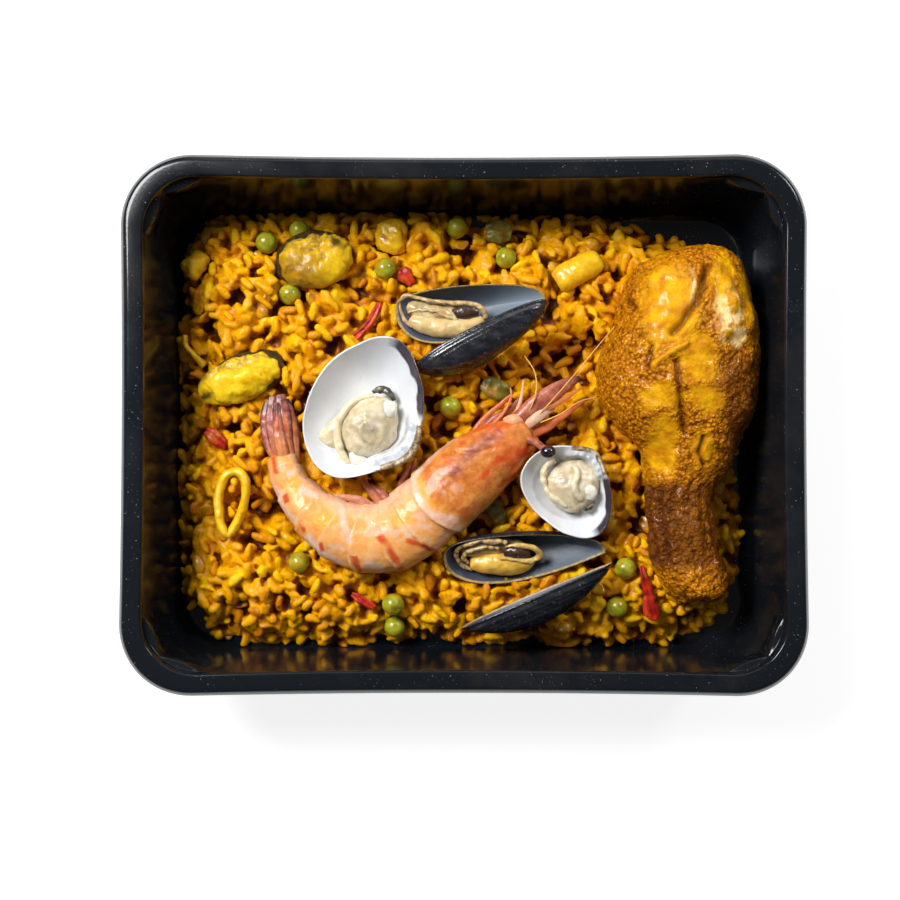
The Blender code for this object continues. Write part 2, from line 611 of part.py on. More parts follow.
PEA_RADIUS = 3.9
PEA_RISE = 0.8
PEAS = (
    (-58.0, 69.6), (-69.3, 65.0), (-60.8, 46.4), (-27.3, 55.2), (-2.1, 71.0), (15.0, 59.3), (-4.5, 6.8),
    (-57.1, -47.2), (-24.5, -62.1), (-24.3, -70.5), (56.5, -49.5), (53.7, -63.0),
)  # fmt: skip

# Squid ring: a drop-shaped loop seen from above
RING_AT = (-80.8, -26.4)
RING_REACH = (4.5, 10.9)
RING_BAND = (1.55, 2.2)
RING_RISE = 2.0


def squid_ring_path(count):
    path = []
    for i in range(count):
        a = 2 * math.pi * i / count
        along = RING_REACH[1] * math.cos(a)
        across = RING_REACH[0] * math.sin(a) * (1 + 0.35 * math.cos(a)) + 0.12 * along
        rise = rice_height(*RING_AT) + RING_RISE + 0.8 * math.sin(2 * a)
        path.append(Vector((RING_AT[0] + across, RING_AT[1] + along, rise)))
    return path


def make_squid_ring(collection, hollows, finish):
    count = 16
    rings = tube_rings(squid_ring_path(count), [RING_BAND[0]] * count, [RING_BAND[1]] * count, 6, looped=True)
    ring = place("squid_ring", mesh_of(loft(rings, looped=True), "squid_ring"), collection, finish)
    hollow("squid_ring", points_of(ring), hollows)


def make_small(name, collection, hollows, finishes):
    finish, steps, around, keys = SMALL[name]
    middle = keys[len(keys) // 2]
    skin = tube(keys, steps, around, rise=rice_height(*middle[:2]))
    piece = place(name, mesh_of(skin, name), collection, finishes[finish])
    points = points_of(piece)
    rings = [points[i * around : (i + 1) * around] for i in range(steps + 1)]
    for i, run in enumerate(in_runs(rings, 3 if name == "squid_strip" else steps)):
        hollow(f"{name}_{i}", run, hollows)


def make_pea(number, x, y, collection, hollows, finish):
    name = f"pea_{number:02d}"
    where = pose((x, y, rice_height(x, y) + PEA_RISE))
    pea = place(name, mesh_of(ball([PEA_RADIUS] * 3, 5, 7), name), collection, finish, where)
    hollow(name, points_of(pea), hollows)


# ---------------------------------------------------------------- assembly

FINISHES = {
    "tray_black": ((0.012, 0.014, 0.017), 0.3),
    "rice": ((0.68, 0.3, 0.01), 0.45),
    "chicken_skin": ((0.4, 0.16, 0.02), 0.4),
    "prawn_shell": ((0.75, 0.33, 0.1), 0.35),
    "clam_shell": ((0.82, 0.8, 0.76), 0.35),
    "clam_meat": ((0.68, 0.53, 0.34), 0.35),
    "mussel_shell": ((0.015, 0.018, 0.025), 0.25),
    "mussel_meat": ((0.68, 0.42, 0.12), 0.35),
    "sauced_mussel": ((0.75, 0.42, 0.01), 0.3),
    "squid": ((0.72, 0.42, 0.01), 0.3),
    "pea": ((0.3, 0.27, 0.01), 0.35),
    "red_pepper": ((0.45, 0.03, 0.01), 0.3),
    "green_pepper": ((0.16, 0.14, 0.02), 0.3),
}


def main():
    for obj in list(bpy.data.objects):
        bpy.data.objects.remove(obj)
    food, helpers, hollows = (bpy.data.collections.new(name) for name in ("paella", "helpers", "hollows"))
    for collection in (food, helpers, hollows):
        bpy.context.scene.collection.children.link(collection)
    finishes = {name: material(name, *look) for name, look in FINISHES.items()}

    make_tray(food, finishes["tray_black"])
    make_drumstick(food, hollows, finishes["chicken_skin"])
    make_prawn(food, helpers, hollows, finishes["prawn_shell"])
    for name in CLAMS:
        make_clam(name, food, helpers, hollows, finishes["clam_shell"], finishes["clam_meat"])
    for name in MUSSEL_MEATS:
        make_mussel(name, food, helpers, hollows, finishes["mussel_shell"], finishes["mussel_meat"])
    for name in SMALL:
        make_small(name, food, hollows, finishes)
    make_squid_ring(food, hollows, finishes["squid"])
    for number, (x, y) in enumerate(PEAS, 1):
        make_pea(number, x, y, food, hollows, finishes["pea"])
    make_rice(food, helpers, hollows, finishes["rice"])


main()
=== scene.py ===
"""Seafood and chicken paella in a black meal tray: the finish of every piece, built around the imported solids.

Lengths in this file are in millimetres, in the solids' frame: +X runs along the tray's long side, +Y along
its short side, +Z up, and the origin is the middle of the tray's underside. MM turns them into metres.
"""

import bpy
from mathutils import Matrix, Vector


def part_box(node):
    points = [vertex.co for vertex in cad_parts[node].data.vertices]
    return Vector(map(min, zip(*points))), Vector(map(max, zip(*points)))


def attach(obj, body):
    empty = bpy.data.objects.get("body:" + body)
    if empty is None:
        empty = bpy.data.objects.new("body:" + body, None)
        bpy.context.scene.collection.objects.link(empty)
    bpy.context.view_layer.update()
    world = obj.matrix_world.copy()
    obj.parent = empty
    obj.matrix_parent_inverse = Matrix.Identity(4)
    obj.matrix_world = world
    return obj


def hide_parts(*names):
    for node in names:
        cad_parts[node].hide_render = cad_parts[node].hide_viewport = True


bl_info = {
    "name": "Paella in a Meal Tray",
    "version": (1, 0, 0),
    "blender": (4, 5, 0),
    "location": "View3D > Sidebar > Paella",
    "description": "Builds saffron rice, a drumstick, a prawn, shells and small toppings in a black tray",
    "category": "Object",
}

import math

import bmesh
import bpy
import numpy as np
from bpy.props import FloatProperty, FloatVectorProperty, IntProperty, PointerProperty
from mathutils import Matrix, Vector
from mathutils.bvhtree import BVHTree

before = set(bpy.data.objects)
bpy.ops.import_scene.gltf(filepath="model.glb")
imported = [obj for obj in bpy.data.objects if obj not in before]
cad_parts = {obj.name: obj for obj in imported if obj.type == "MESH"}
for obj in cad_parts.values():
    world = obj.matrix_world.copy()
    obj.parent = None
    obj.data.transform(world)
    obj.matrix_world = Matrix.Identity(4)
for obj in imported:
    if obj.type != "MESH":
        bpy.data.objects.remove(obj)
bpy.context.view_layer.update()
MM = 0.001


# ---- numbers


def smooth(t):
    """0 below 0, 1 above 1 and an even S between."""
    t = np.clip(t, 0.0, 1.0)
    return t * t * (3 - 2 * t)


def bell(value, middle, reach):
    """1 at the middle, falling evenly to 0 at a reach on either side."""
    return smooth(1 - np.abs(value - middle) / reach)


def spline(keys, t, closed=False):
    """Catmull-Rom through equally spaced keys, at each t from 0 to 1, as an array of rows."""
    keys = np.asarray(keys, float)
    t = np.atleast_1d(np.asarray(t, float))
    count = len(keys)
    if closed:
        at = (t % 1.0) * count
        i = at.astype(int)
        near = [keys[(i + k) % count] for k in (-1, 0, 1, 2)]
    else:
        at = np.clip(t, 0, 1) * (count - 1)
        i = np.minimum(at.astype(int), count - 2)
        near = [keys[np.clip(i + k, 0, count - 1)] for k in (-1, 0, 1, 2)]
    f = (at - i)[:, None]
    a, b, c, d = near
    return 0.5 * (2 * b + (c - a) * f + (2 * a - 5 * b + 4 * c - d) * f**2 + (3 * b - a - 3 * c + d) * f**3)


def hashed(cells, seed):
    """An even random number from 0 to 1 for each integer cell; the large numbers only scramble its bits."""
    x, y, z = (cells[..., k].astype(np.int64) for k in range(3))
    h = (x * 374761393 + y * 668265263 + z * 2147483647 + seed * 1274126177) & 0xFFFFFFFF
    h = ((h ^ (h >> 13)) * 1274126177) & 0xFFFFFFFF
    h = ((h ^ (h >> 16)) * 2246822519) & 0xFFFFFFFF
    return ((h ^ (h >> 15)) & 0xFFFFFF) / 0xFFFFFF


def noise(points, size, seed=0, octaves=1):
    """Smooth noise from -1 to 1 whose features are about size across."""
    total, weight, share = 0.0, 0.0, 1.0
    for octave in range(octaves):
        at = np.asarray(points, float) / size * 2**octave + 17.3 * octave
        cell = np.floor(at).astype(np.int64)
        f = at - cell
        f = f * f * (3 - 2 * f)
        value = 0.0
        for corner in np.ndindex(2, 2, 2):
            near = np.prod([f[..., k] if corner[k] else 1 - f[..., k] for k in range(3)], axis=0)
            value = value + near * hashed(cell + np.array(corner), seed + octave)
        total = total + share * (2 * value - 1)
        weight += share
        share *= 0.5
    return total / weight


def pebbles(points, size, seed):
    """Rounded granules: 1 at each granule's middle, falling to 0 where it meets the next."""
    at = np.asarray(points, float) / size
    cell = np.floor(at).astype(np.int64)
    near = np.full(at.shape[:-1], 9.0)
    for step in np.ndindex(3, 3, 3):
        other = cell + np.array(step) - 1
        middle = other + np.stack([hashed(other, seed + k) for k in range(3)], axis=-1)
        near = np.minimum(near, ((at - middle) ** 2).sum(axis=-1))
    return np.clip(1 - near, 0, 1)


def borders(points, size, seed):
    """0 where two cells of about this size meet, growing to about 1 inside each cell, over level points."""
    at = np.asarray(points, float) / size
    cell = np.floor(at).astype(np.int64)
    first = np.full(at.shape[:-1], 9.0)
    second = first.copy()
    for step in np.ndindex(3, 3, 1):
        other = cell + np.array(step) - (1, 1, 0)
        middle = other + np.stack([hashed(other, seed + k) for k in range(3)], axis=-1)
        off = np.sqrt(((at - middle)[..., :2] ** 2).sum(axis=-1))
        second = np.minimum(second, np.maximum(first, off))
        first = np.minimum(first, off)
    return second - first


def unit(vectors):
    return vectors / np.maximum(np.linalg.norm(vectors, axis=-1, keepdims=True), 1e-9)


def turned(at, yaw, pitch, roll):
    """Local +X is turned to yaw and tipped up by pitch, in degrees; roll is about local X."""
    return (
        Matrix.Translation(at)
        @ Matrix.Rotation(math.radians(yaw), 4, "Z")
        @ Matrix.Rotation(math.radians(-pitch), 4, "Y")
        @ Matrix.Rotation(math.radians(roll), 4, "X")
    )


def moved(points, where):
    """The points, carried by the matrix where."""
    matrix = np.array(where)
    return points @ matrix[:3, :3].T + matrix[:3, 3]


def from_line(x, y, route):
    """Distance from each (x, y) to a route of points, and how far along the route that is, from 0 to 1."""
    route = np.asarray(route, float)
    best = np.full(np.shape(x), 1e9)
    along = np.zeros(np.shape(x))
    spans = np.linalg.norm(np.diff(route[:, :2], axis=0), axis=1)
    starts = np.concatenate([[0], np.cumsum(spans)])
    for i, (a, b) in enumerate(zip(route, route[1:])):
        run = b[:2] - a[:2]
        t = np.clip(((x - a[0]) * run[0] + (y - a[1]) * run[1]) / (run @ run), 0, 1)
        off = np.hypot(x - a[0] - t * run[0], y - a[1] - t * run[1])
        closer = off < best
        best = np.where(closer, off, best)
        along = np.where(closer, (starts[i] + t * spans[i]) / starts[-1], along)
    return best, along


# ---- meshes


class Shape:
    """Points in millimetres and faces, with named values for each point, that grows as bodies are added."""

    def __init__(self):
        self.points, self.faces, self.values, self.count = [], [], [], 0

    def add(self, points, faces, **values):
        points = np.asarray(points, float).reshape(-1, 3)
        self.points.append(points)
        self.faces += [np.asarray(f, np.int64) + self.count for f in faces]
        self.values.append(
            {k: np.broadcast_to(np.asarray(v, float).ravel(), len(points)) for k, v in values.items()}
        )
        self.count += len(points)
        return self

    def piece(self, name, *looks):
        points = np.concatenate(self.points) * MM
        mesh = bpy.data.meshes.new(name)
        mesh.vertices.add(len(points))
        mesh.vertices.foreach_set("co", points.astype(np.float32).ravel())
        sizes = np.concatenate([np.full(len(f), f.shape[1]) for f in self.faces])
        mesh.loops.add(int(sizes.sum()))
        mesh.loops.foreach_set(
            "vertex_index", np.concatenate([f.ravel() for f in self.faces]).astype(np.int32)
        )
        mesh.polygons.add(len(sizes))
        mesh.polygons.foreach_set("loop_start", (np.cumsum(sizes) - sizes).astype(np.int32))
        mesh.polygons.foreach_set("use_smooth", np.ones(len(sizes), bool))
        for value in sorted({k for values in self.values for k in values}):
            parts = [v.get(value, np.zeros(len(p))) for v, p in zip(self.values, self.points)]
            mesh.attributes.new(value, "FLOAT", "POINT").data.foreach_set("value", np.concatenate(parts))
        mesh.update(calc_edges=True)
        mesh.validate()
        for look in looks:
            mesh.materials.append(look)
        obj = bpy.data.objects.new(name, mesh)
        bpy.context.scene.collection.objects.link(obj)
        return obj


def grid_faces(rows, columns, closed=False, looped=False):
    """Quads over a grid. closed joins the last column to the first, looped the last row to the first."""
    index = np.arange(rows * columns).reshape(rows, columns)
    if closed:
        index = np.concatenate([index, index[:, :1]], axis=1)
    if looped:
        index = np.concatenate([index, index[:1]], axis=0)
    a, b, c, d = index[:-1, :-1], index[:-1, 1:], index[1:, 1:], index[1:, :-1]
    return np.stack([a, b, c, d], axis=-1).reshape(-1, 4)


def closed_loft(rings):
    """Points and faces of a skin through closed rings, with a fan over each end."""
    rings = np.asarray(rings, float)
    rows, columns = rings.shape[:2]
    points = np.concatenate([rings.reshape(-1, 3), [rings[0].mean(axis=0)], [rings[-1].mean(axis=0)]])
    first = np.arange(columns)
    last = first + (rows - 1) * columns
    ends = rows * columns
    fans = [
        np.stack([np.roll(first, -1), first, np.full(columns, ends)], axis=1),
        np.stack([last, np.roll(last, -1), np.full(columns, ends + 1)], axis=1),
    ]
    return points, [grid_faces(rows, columns, closed=True), *fans]


def outward(points, faces):
    """The faces, turned round if they enclose a negative volume."""
    volume = 0.0
    for f in faces:
        a = points[f[:, 0]]
        for k in range(1, f.shape[1] - 1):
            volume += np.einsum("ij,ij->i", a, np.cross(points[f[:, k]], points[f[:, k + 1]])).sum()
    return faces if volume > 0 else [f[:, ::-1] for f in faces]


def ring_turns(count):
    """Even steps about a ring, in radians."""
    return 2 * np.pi * np.arange(count) / count


def sections(path, widths, heights, around, looped=False):
    """Elliptic rings square to a path, with widths level and heights upwards. Each starts at the side."""
    path = np.asarray(path, float)
    if looped:
        along = np.roll(path, -1, axis=0) - np.roll(path, 1, axis=0)
    else:
        along = np.gradient(path, axis=0)
    side = unit(np.cross(along, (0.0, 0.0, 1.0)))
    top = unit(np.cross(side, along))
    turn = ring_turns(around)
    across = np.asarray(widths, float)[:, None, None] * np.cos(turn)[None, :, None] * side[:, None]
    rise = np.asarray(heights, float)[:, None, None] * np.sin(turn)[None, :, None] * top[:, None]
    return path[:, None] + across + rise


def round_ended(keys, steps, tip):
    """Path, widths and heights through keys of (x, y, z, half width, half height), closing to round ends."""
    t = np.linspace(0, 1, steps + 1)
    t = tip * 0.5 + (1 - tip) * t
    rows = spline(keys, t)
    near_end = np.minimum(t, 1 - t) / tip
    shut = np.sqrt(np.clip(1 - (1 - np.clip(near_end, 0, 1)) ** 2, 0.02, 1))
    return rows[:, :3], rows[:, 3] * shut, rows[:, 4] * shut


def normals_of(grid):
    """Unit normals of a grid of closed rings of points, pointing as its quads do."""
    around = np.roll(grid, -1, axis=1) - np.roll(grid, 1, axis=1)
    return unit(np.cross(around, np.gradient(grid, axis=0)))


def shown(obj, slot, *nodes):
    """The finished piece rides on the tray's body and stands for these solids, which it hides. slot is not
    used.
    """
    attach(obj, "root")
    if nodes:
        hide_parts(*nodes)
    return obj


# ---- finishes


class Look:
    """A material's nodes, with short calls for what the finishes share. Sizes are in millimetres."""

    def __init__(self, name, roughness=0.4, **sockets):
        self.material = bpy.data.materials.new(name)
        self.material.use_nodes = True
        self.tree = self.material.node_tree
        self.shader = self.tree.nodes["Principled BSDF"]
        self.set("Roughness", roughness)
        for socket, value in sockets.items():
            self.set(socket.replace("_", " "), value)
        self.place = self.node("ShaderNodeTexCoord").outputs["Object"]
        self.bumps = None

    def node(self, kind, **settings):
        made = self.tree.nodes.new(kind)
        for key, value in settings.items():
            setattr(made, key, value)
        return made

    def feed(self, socket, value):
        if isinstance(value, bpy.types.NodeSocket):
            self.tree.links.new(value, socket)
        elif socket.type == "RGBA":
            socket.default_value = (*value, 1) if hasattr(value, "__len__") else (value, value, value, 1)
        else:
            socket.default_value = value

    def set(self, socket, value):
        self.feed(self.shader.inputs[socket], value)

    def value(self, name):
        return self.node("ShaderNodeAttribute", attribute_name=name).outputs["Fac"]

    def values(self, *names):
        return [self.value(name) for name in names]

    def stretched(self, stretch):
        mapping = self.node("ShaderNodeMapping")
        self.feed(mapping.inputs["Vector"], self.place)
        mapping.inputs["Scale"].default_value = stretch
        return mapping.outputs["Vector"]

    def noise(self, size, detail=2.0, roughness=0.5, stretch=None, distortion=0.0):
        made = self.node("ShaderNodeTexNoise")
        self.feed(made.inputs["Vector"], self.stretched(stretch) if stretch else self.place)
        made.inputs["Scale"].default_value = 1 / (size * MM)
        made.inputs["Detail"].default_value = detail
        made.inputs["Roughness"].default_value = roughness
        made.inputs["Distortion"].default_value = distortion
        return made.outputs["Fac"]

    def cells(self, size):
        """0 at the middle of each cell of about this size, growing towards its border."""
        made = self.node("ShaderNodeTexVoronoi")
        self.feed(made.inputs["Vector"], self.place)
        made.inputs["Scale"].default_value = 1 / (size * MM)
        return made.outputs["Distance"]

    def specks(self, size, spot, patches, low, high):
        """1 on specks, fading over spot's two shares of a cell, where a wider noise passes low to high."""
        return self.times(self.range(self.cells(size), *spot), self.range(self.noise(patches, 2), low, high))

    def ramp(self, value, *stops):
        """The colours of the stops, each (where, colour), blended as value grows."""
        made = self.node("ShaderNodeValToRGB")
        steps = made.color_ramp.elements
        while len(steps) < len(stops):
            steps.new(0.5)
        for step, (at, colour) in zip(steps, stops):
            step.position = at
            step.color = (*colour, 1)
        self.feed(made.inputs["Fac"], value)
        return made.outputs["Color"]

    def mottled(self, grain, *stops):
        """The stops' colours, spread by a noise; grain is its size and detail, and its roughness if given."""
        return self.ramp(self.noise(*grain), *stops)

    def mix(self, share, a, b):
        made = self.node("ShaderNodeMix", data_type="RGBA")
        self.feed(made.inputs["Factor"], share)
        self.feed(made.inputs[6], a)
        self.feed(made.inputs[7], b)
        return made.outputs[2]

    def maths(self, operation, a, b, clamp=False):
        made = self.node("ShaderNodeMath", operation=operation, use_clamp=clamp)
        self.feed(made.inputs[0], a)
        self.feed(made.inputs[1], b)
        return made.outputs[0]

    def times(self, a, b):
        return self.maths("MULTIPLY", a, b)

    def plus(self, a, b, clamp=False):
        return self.maths("ADD", a, b, clamp)

    def range(self, value, low, high, to_low=0.0, to_high=1.0):
        made = self.node("ShaderNodeMapRange", clamp=True)
        self.feed(made.inputs["Value"], value)
        for socket, number in zip(("From Min", "From Max", "To Min", "To Max"), (low, high, to_low, to_high)):
            made.inputs[socket].default_value = number
        return made.outputs["Result"]

    def bump(self, height, depth):
        """depth is how far, in millimetres, the surface rises as height goes from 0 to 1."""
        made = self.node("ShaderNodeBump")
        made.inputs["Strength"].default_value = 1.0
        made.inputs["Distance"].default_value = depth * MM
        self.feed(made.inputs["Height"], height)
        if self.bumps:
            self.feed(made.inputs["Normal"], self.bumps)
        self.bumps = made.outputs["Normal"]
        self.set("Normal", self.bumps)

    def bumpy(self, size, detail, depth):
        self.bump(self.noise(size, detail), depth)

    def dull(self, size, detail, least, most):
        """The roughness wanders between least and most."""
        self.set("Roughness", self.range(self.noise(size, detail), 0.3, 0.7, least, most))

    def paint(self, colour):
        self.set("Base Color", colour)

    def translucent(self, weight, radius):
        """The material, with light scattered under its surface; radius is per colour, in millimetres."""
        self.shader.inputs["Subsurface Weight"].default_value = weight
        self.shader.inputs["Subsurface Radius"].default_value = radius
        self.shader.inputs["Subsurface Scale"].default_value = MM
        return self.material


# ---- tray

TRAY_LENGTH = 228.5
TRAY_WIDTH = 180.5
TRAY_HEIGHT = 50.0
WALL = 0.8
FLANGE = 7.6
BOW_X = 1.1
BOW_Y = 1.8
DRAFT = 4.3
FLOOR_FILLET = 4.0
MOUTH_CORNER = 19.0
FLOOR_CORNER = 17.0
LUG_BOTTOM = 33.0
LUG_TOP = 46.2
LUG_DEEP = 2.3
EDGE_ROUND = 0.9
# (how far out from the mouth, how far below the top) along the flange and its turned-down edge
FLANGE_PROFILE = (
    (2.6, 0.0), (4.6, 0.0), (5.4, 0.06), (6.0, 0.3), (6.4, 0.7), (6.7, 1.2), (7.1, 2.1), (7.6, 3.0)
)
CORNER_STEPS = 24
SIDE_STEPS = 14
RICE_GAP = 0.2  # the least distance from the rice to the tray's walls
MOUTH_X = TRAY_LENGTH / 2 - FLANGE
MOUTH_Y = TRAY_WIDTH / 2 - FLANGE


def tray_ring(out, corner, z, lug=0.0):
    """A level ring of the tray's food side. Where lug is 1, each corner carries two full stacking lugs."""
    half_x, half_y = MOUTH_X + out, MOUTH_Y + out
    angle = np.radians(np.linspace(0, 90, CORNER_STEPS + 1))
    in_lug = np.abs(np.sin(4 * angle)) ** 0.8 * (LUG_DEEP / MOUTH_CORNER)
    reach = corner * (1 - lug * in_lug)
    ring = []
    for quarter in range(4):
        middle = np.array(
            [(1, -1, -1, 1)[quarter] * (half_x - corner), (1, 1, -1, -1)[quarter] * (half_y - corner)]
        )
        turn = angle + quarter * np.pi / 2
        arc = middle + np.stack([np.cos(turn), np.sin(turn)], axis=1) * reach[:, None]
        following = arc[-1] * (np.array([-1, 1]) if quarter % 2 == 0 else np.array([1, -1]))
        share = (np.arange(SIDE_STEPS) + 1)[:, None] / (SIDE_STEPS + 1)
        ring += [arc, arc[-1] + (following - arc[-1]) * share]
    ring = np.concatenate(ring)
    bow = z / TRAY_HEIGHT
    x, y = ring[:, 0] / half_x, ring[:, 1] / half_y
    ring[:, 0] -= BOW_X * bow * x * (1 - y * y)
    ring[:, 1] -= BOW_Y * bow * y * (1 - x * x)
    return np.column_stack([ring, np.full(len(ring), z)])


def wall_ring(z, lug=0.0):
    """A ring of the slanting inner wall at this height."""
    share = (z - WALL) / (TRAY_HEIGHT - WALL)
    return tray_ring(-DRAFT * (1 - share), FLOOR_CORNER + (MOUTH_CORNER - FLOOR_CORNER) * share, z, lug)


def kept_in_tray(points):
    """The points, with those that would pass through the tray's floor or walls moved to just inside them."""
    z = np.maximum(points[..., 2], WALL + 0.05)
    share = (z - WALL) / (TRAY_HEIGHT - WALL)
    below = 1 - np.clip((z - WALL) / FLOOR_FILLET, 0, 1)
    inset = FLOOR_FILLET * (1 - np.sqrt(1 - below**2))
    out = -DRAFT * (1 - share) - inset - RICE_GAP
    half_x, half_y = MOUTH_X + out, MOUTH_Y + out
    x, y = points[..., 0], points[..., 1]
    bow = z / TRAY_HEIGHT
    half_x = half_x - BOW_X * bow * np.clip(1 - (y / half_y) ** 2, 0, 1)
    half_y = half_y - BOW_Y * bow * np.clip(1 - (x / half_x) ** 2, 0, 1)
    corner = FLOOR_CORNER + (MOUTH_CORNER - FLOOR_CORNER) * share - inset
    past_x, past_y = np.abs(x) - half_x + corner, np.abs(y) - half_y + corner
    reach = np.hypot(np.maximum(past_x, 0), np.maximum(past_y, 0))
    pull = np.minimum(1, corner / np.maximum(reach, 1e-6))
    x = np.where(past_x > 0, np.sign(x) * (half_x - corner + past_x * pull), x)
    y = np.where(past_y > 0, np.sign(y) * (half_y - corner + past_y * pull), y)
    return np.stack([x, y, z], axis=-1)


def floor_fillet():
    """(how far out from the mouth, corner, height) up the round between the floor and the walls."""
    for turn in np.radians(np.linspace(0, 80, 7)):
        inset = FLOOR_FILLET * (1 - math.sin(turn))
        yield -DRAFT - inset, FLOOR_CORNER - inset, WALL + FLOOR_FILLET * (1 - math.cos(turn))


def mouth_and_flange():
    """(how far out from the mouth, corner, height) over the mouth's round edge and out along the flange."""
    for turn in np.radians(np.linspace(15, 90, 6)):
        out = EDGE_ROUND * (1 - math.cos(turn))
        yield out, MOUTH_CORNER + out, TRAY_HEIGHT - EDGE_ROUND * (1 - math.sin(turn))
    for out, drop in FLANGE_PROFILE:
        yield out, MOUTH_CORNER + out * 0.75, TRAY_HEIGHT - drop


def tray_rings():
    """The rings of the tray's food side from the floor's edge to the flange's, with lugs in its corners."""
    rings = [tray_ring(*level) for level in floor_fillet()]
    rings += [wall_ring(z) for z in np.linspace(WALL + FLOOR_FILLET, LUG_BOTTOM, 9)]
    for z in np.linspace(LUG_BOTTOM, LUG_TOP - 0.5, 8)[1:]:
        rings.append(wall_ring(z, smooth((z - LUG_BOTTOM) / (LUG_TOP - LUG_BOTTOM) * 1.3)))
    rings += [wall_ring(LUG_TOP - 0.2, 0.97), wall_ring(LUG_TOP, 0.86), wall_ring(LUG_TOP, 0.12)]
    rings += [wall_ring(z) for z in (LUG_TOP + 0.2, TRAY_HEIGHT - 2.0, TRAY_HEIGHT - EDGE_ROUND)]
    return np.array(rings + [tray_ring(*level) for level in mouth_and_flange()])


def outer_rings():
    """The rings of the tray's outer side, a wall's thickness behind the food side and without the lugs."""
    profile = list(floor_fillet())
    for share in np.linspace(0, 1, 12)[1:]:
        corner = FLOOR_CORNER + (MOUTH_CORNER - FLOOR_CORNER) * share
        z = WALL + FLOOR_FILLET + share * (TRAY_HEIGHT - EDGE_ROUND - WALL - FLOOR_FILLET)
        profile.append((-DRAFT * (TRAY_HEIGHT - z) / (TRAY_HEIGHT - WALL), corner, z))
    profile = np.array(profile + list(mouth_and_flange()))
    run = np.gradient(profile[:, [0, 2]], axis=0)
    behind = WALL * unit(np.stack([run[:, 1], -run[:, 0]], axis=1))
    return np.array(
        [tray_ring(out + b[0], corner + b[0], z + b[1]) for (out, corner, z), b in zip(profile, behind)]
    )


def tray_look(settings):
    look = Look("tray_plastic", 0.2, Coat_Weight=0.08, Coat_Roughness=0.05, IOR=1.35)
    fine = look.specks(0.9, (0.08, 0.05), 14, 0.44, 0.52)
    dust = look.maths("MAXIMUM", look.specks(1.7, (0.07, 0.04), 9, 0.4, 0.48), look.times(fine, 0.6))
    film = look.range(look.noise(34, 4, 0.6, stretch=(1, 1, 0.5)), 0.52, 0.75)
    base = look.mix(look.times(film, 0.25), settings.plastic_colour, (0.055, 0.045, 0.038))
    look.paint(look.mix(dust, base, (0.62, 0.63, 0.62)))
    dull = look.range(look.noise(26, 3), 0.35, 0.7, settings.plastic_gloss, settings.plastic_gloss + 0.1)
    look.set("Roughness", look.mix(dust, dull, 0.9))
    look.bumpy(0.8, 2, 0.012)
    look.bumpy(45, 1, 0.5)
    return look.material


def make_tray(settings):
    points, faces = closed_loft(np.concatenate([tray_rings(), outer_rings()[::-1]]))
    points[-1] = 0  # the middle of the underside, which the tray stands on
    shape = Shape().add(points, outward(points, faces))
    return shown(shape.piece("meal_tray", tray_look(settings)), "tray", "tray")


# ---- rice

RICE_MIDDLE = 19.5
RICE_EDGE = 10.5
RICE_SHOULDER = 26.0
RICE_LUMP = 3.0
RICE_OUTLINE = (
    (-101.6, 0), (-101.4, 45), (-97, 67), (-84, 76.5), (-45, 77.2), (0, 77.4), (46, 75), (74, 68.5), (90, 56),
    (95, 20), (95, -12), (98.5, -42), (93, -62), (81, -74), (45, -76), (0, -74.5), (-45, -75.5), (-84, -74),
    (-98, -61), (-101.2, -30),
)
VALLEY_AT, VALLEY_RADII, VALLEY_DEEP = (34.0, 26.0), (24.0, 26.0), 5.0
CELL = 0.5  # the heap's height is kept on a level grid this fine
CORE_UNDER = 6.5  # how deep under the top the loose grains go
YAWS = 24
PITCHES = (-48, -33, -20, -9, 0, 9, 20, 33, 48)


def flat(x, y, z=0.0):
    """Points over a level grid, all at one height."""
    return np.stack([x, y, np.full(np.shape(x), z)], axis=-1)


def rice_height(x, y):
    """Height of the bed: a lumpy mound that thins towards the walls, with a valley in its right half."""
    to_wall = np.minimum(MOUTH_X - DRAFT - np.abs(x), MOUTH_Y - DRAFT - np.abs(y))
    mound = RICE_EDGE + (RICE_MIDDLE - RICE_EDGE) * smooth(to_wall / RICE_SHOULDER)
    off = np.hypot((x - VALLEY_AT[0]) / VALLEY_RADII[0], (y - VALLEY_AT[1]) / VALLEY_RADII[1])
    return mound - VALLEY_DEEP * smooth(1 - off)


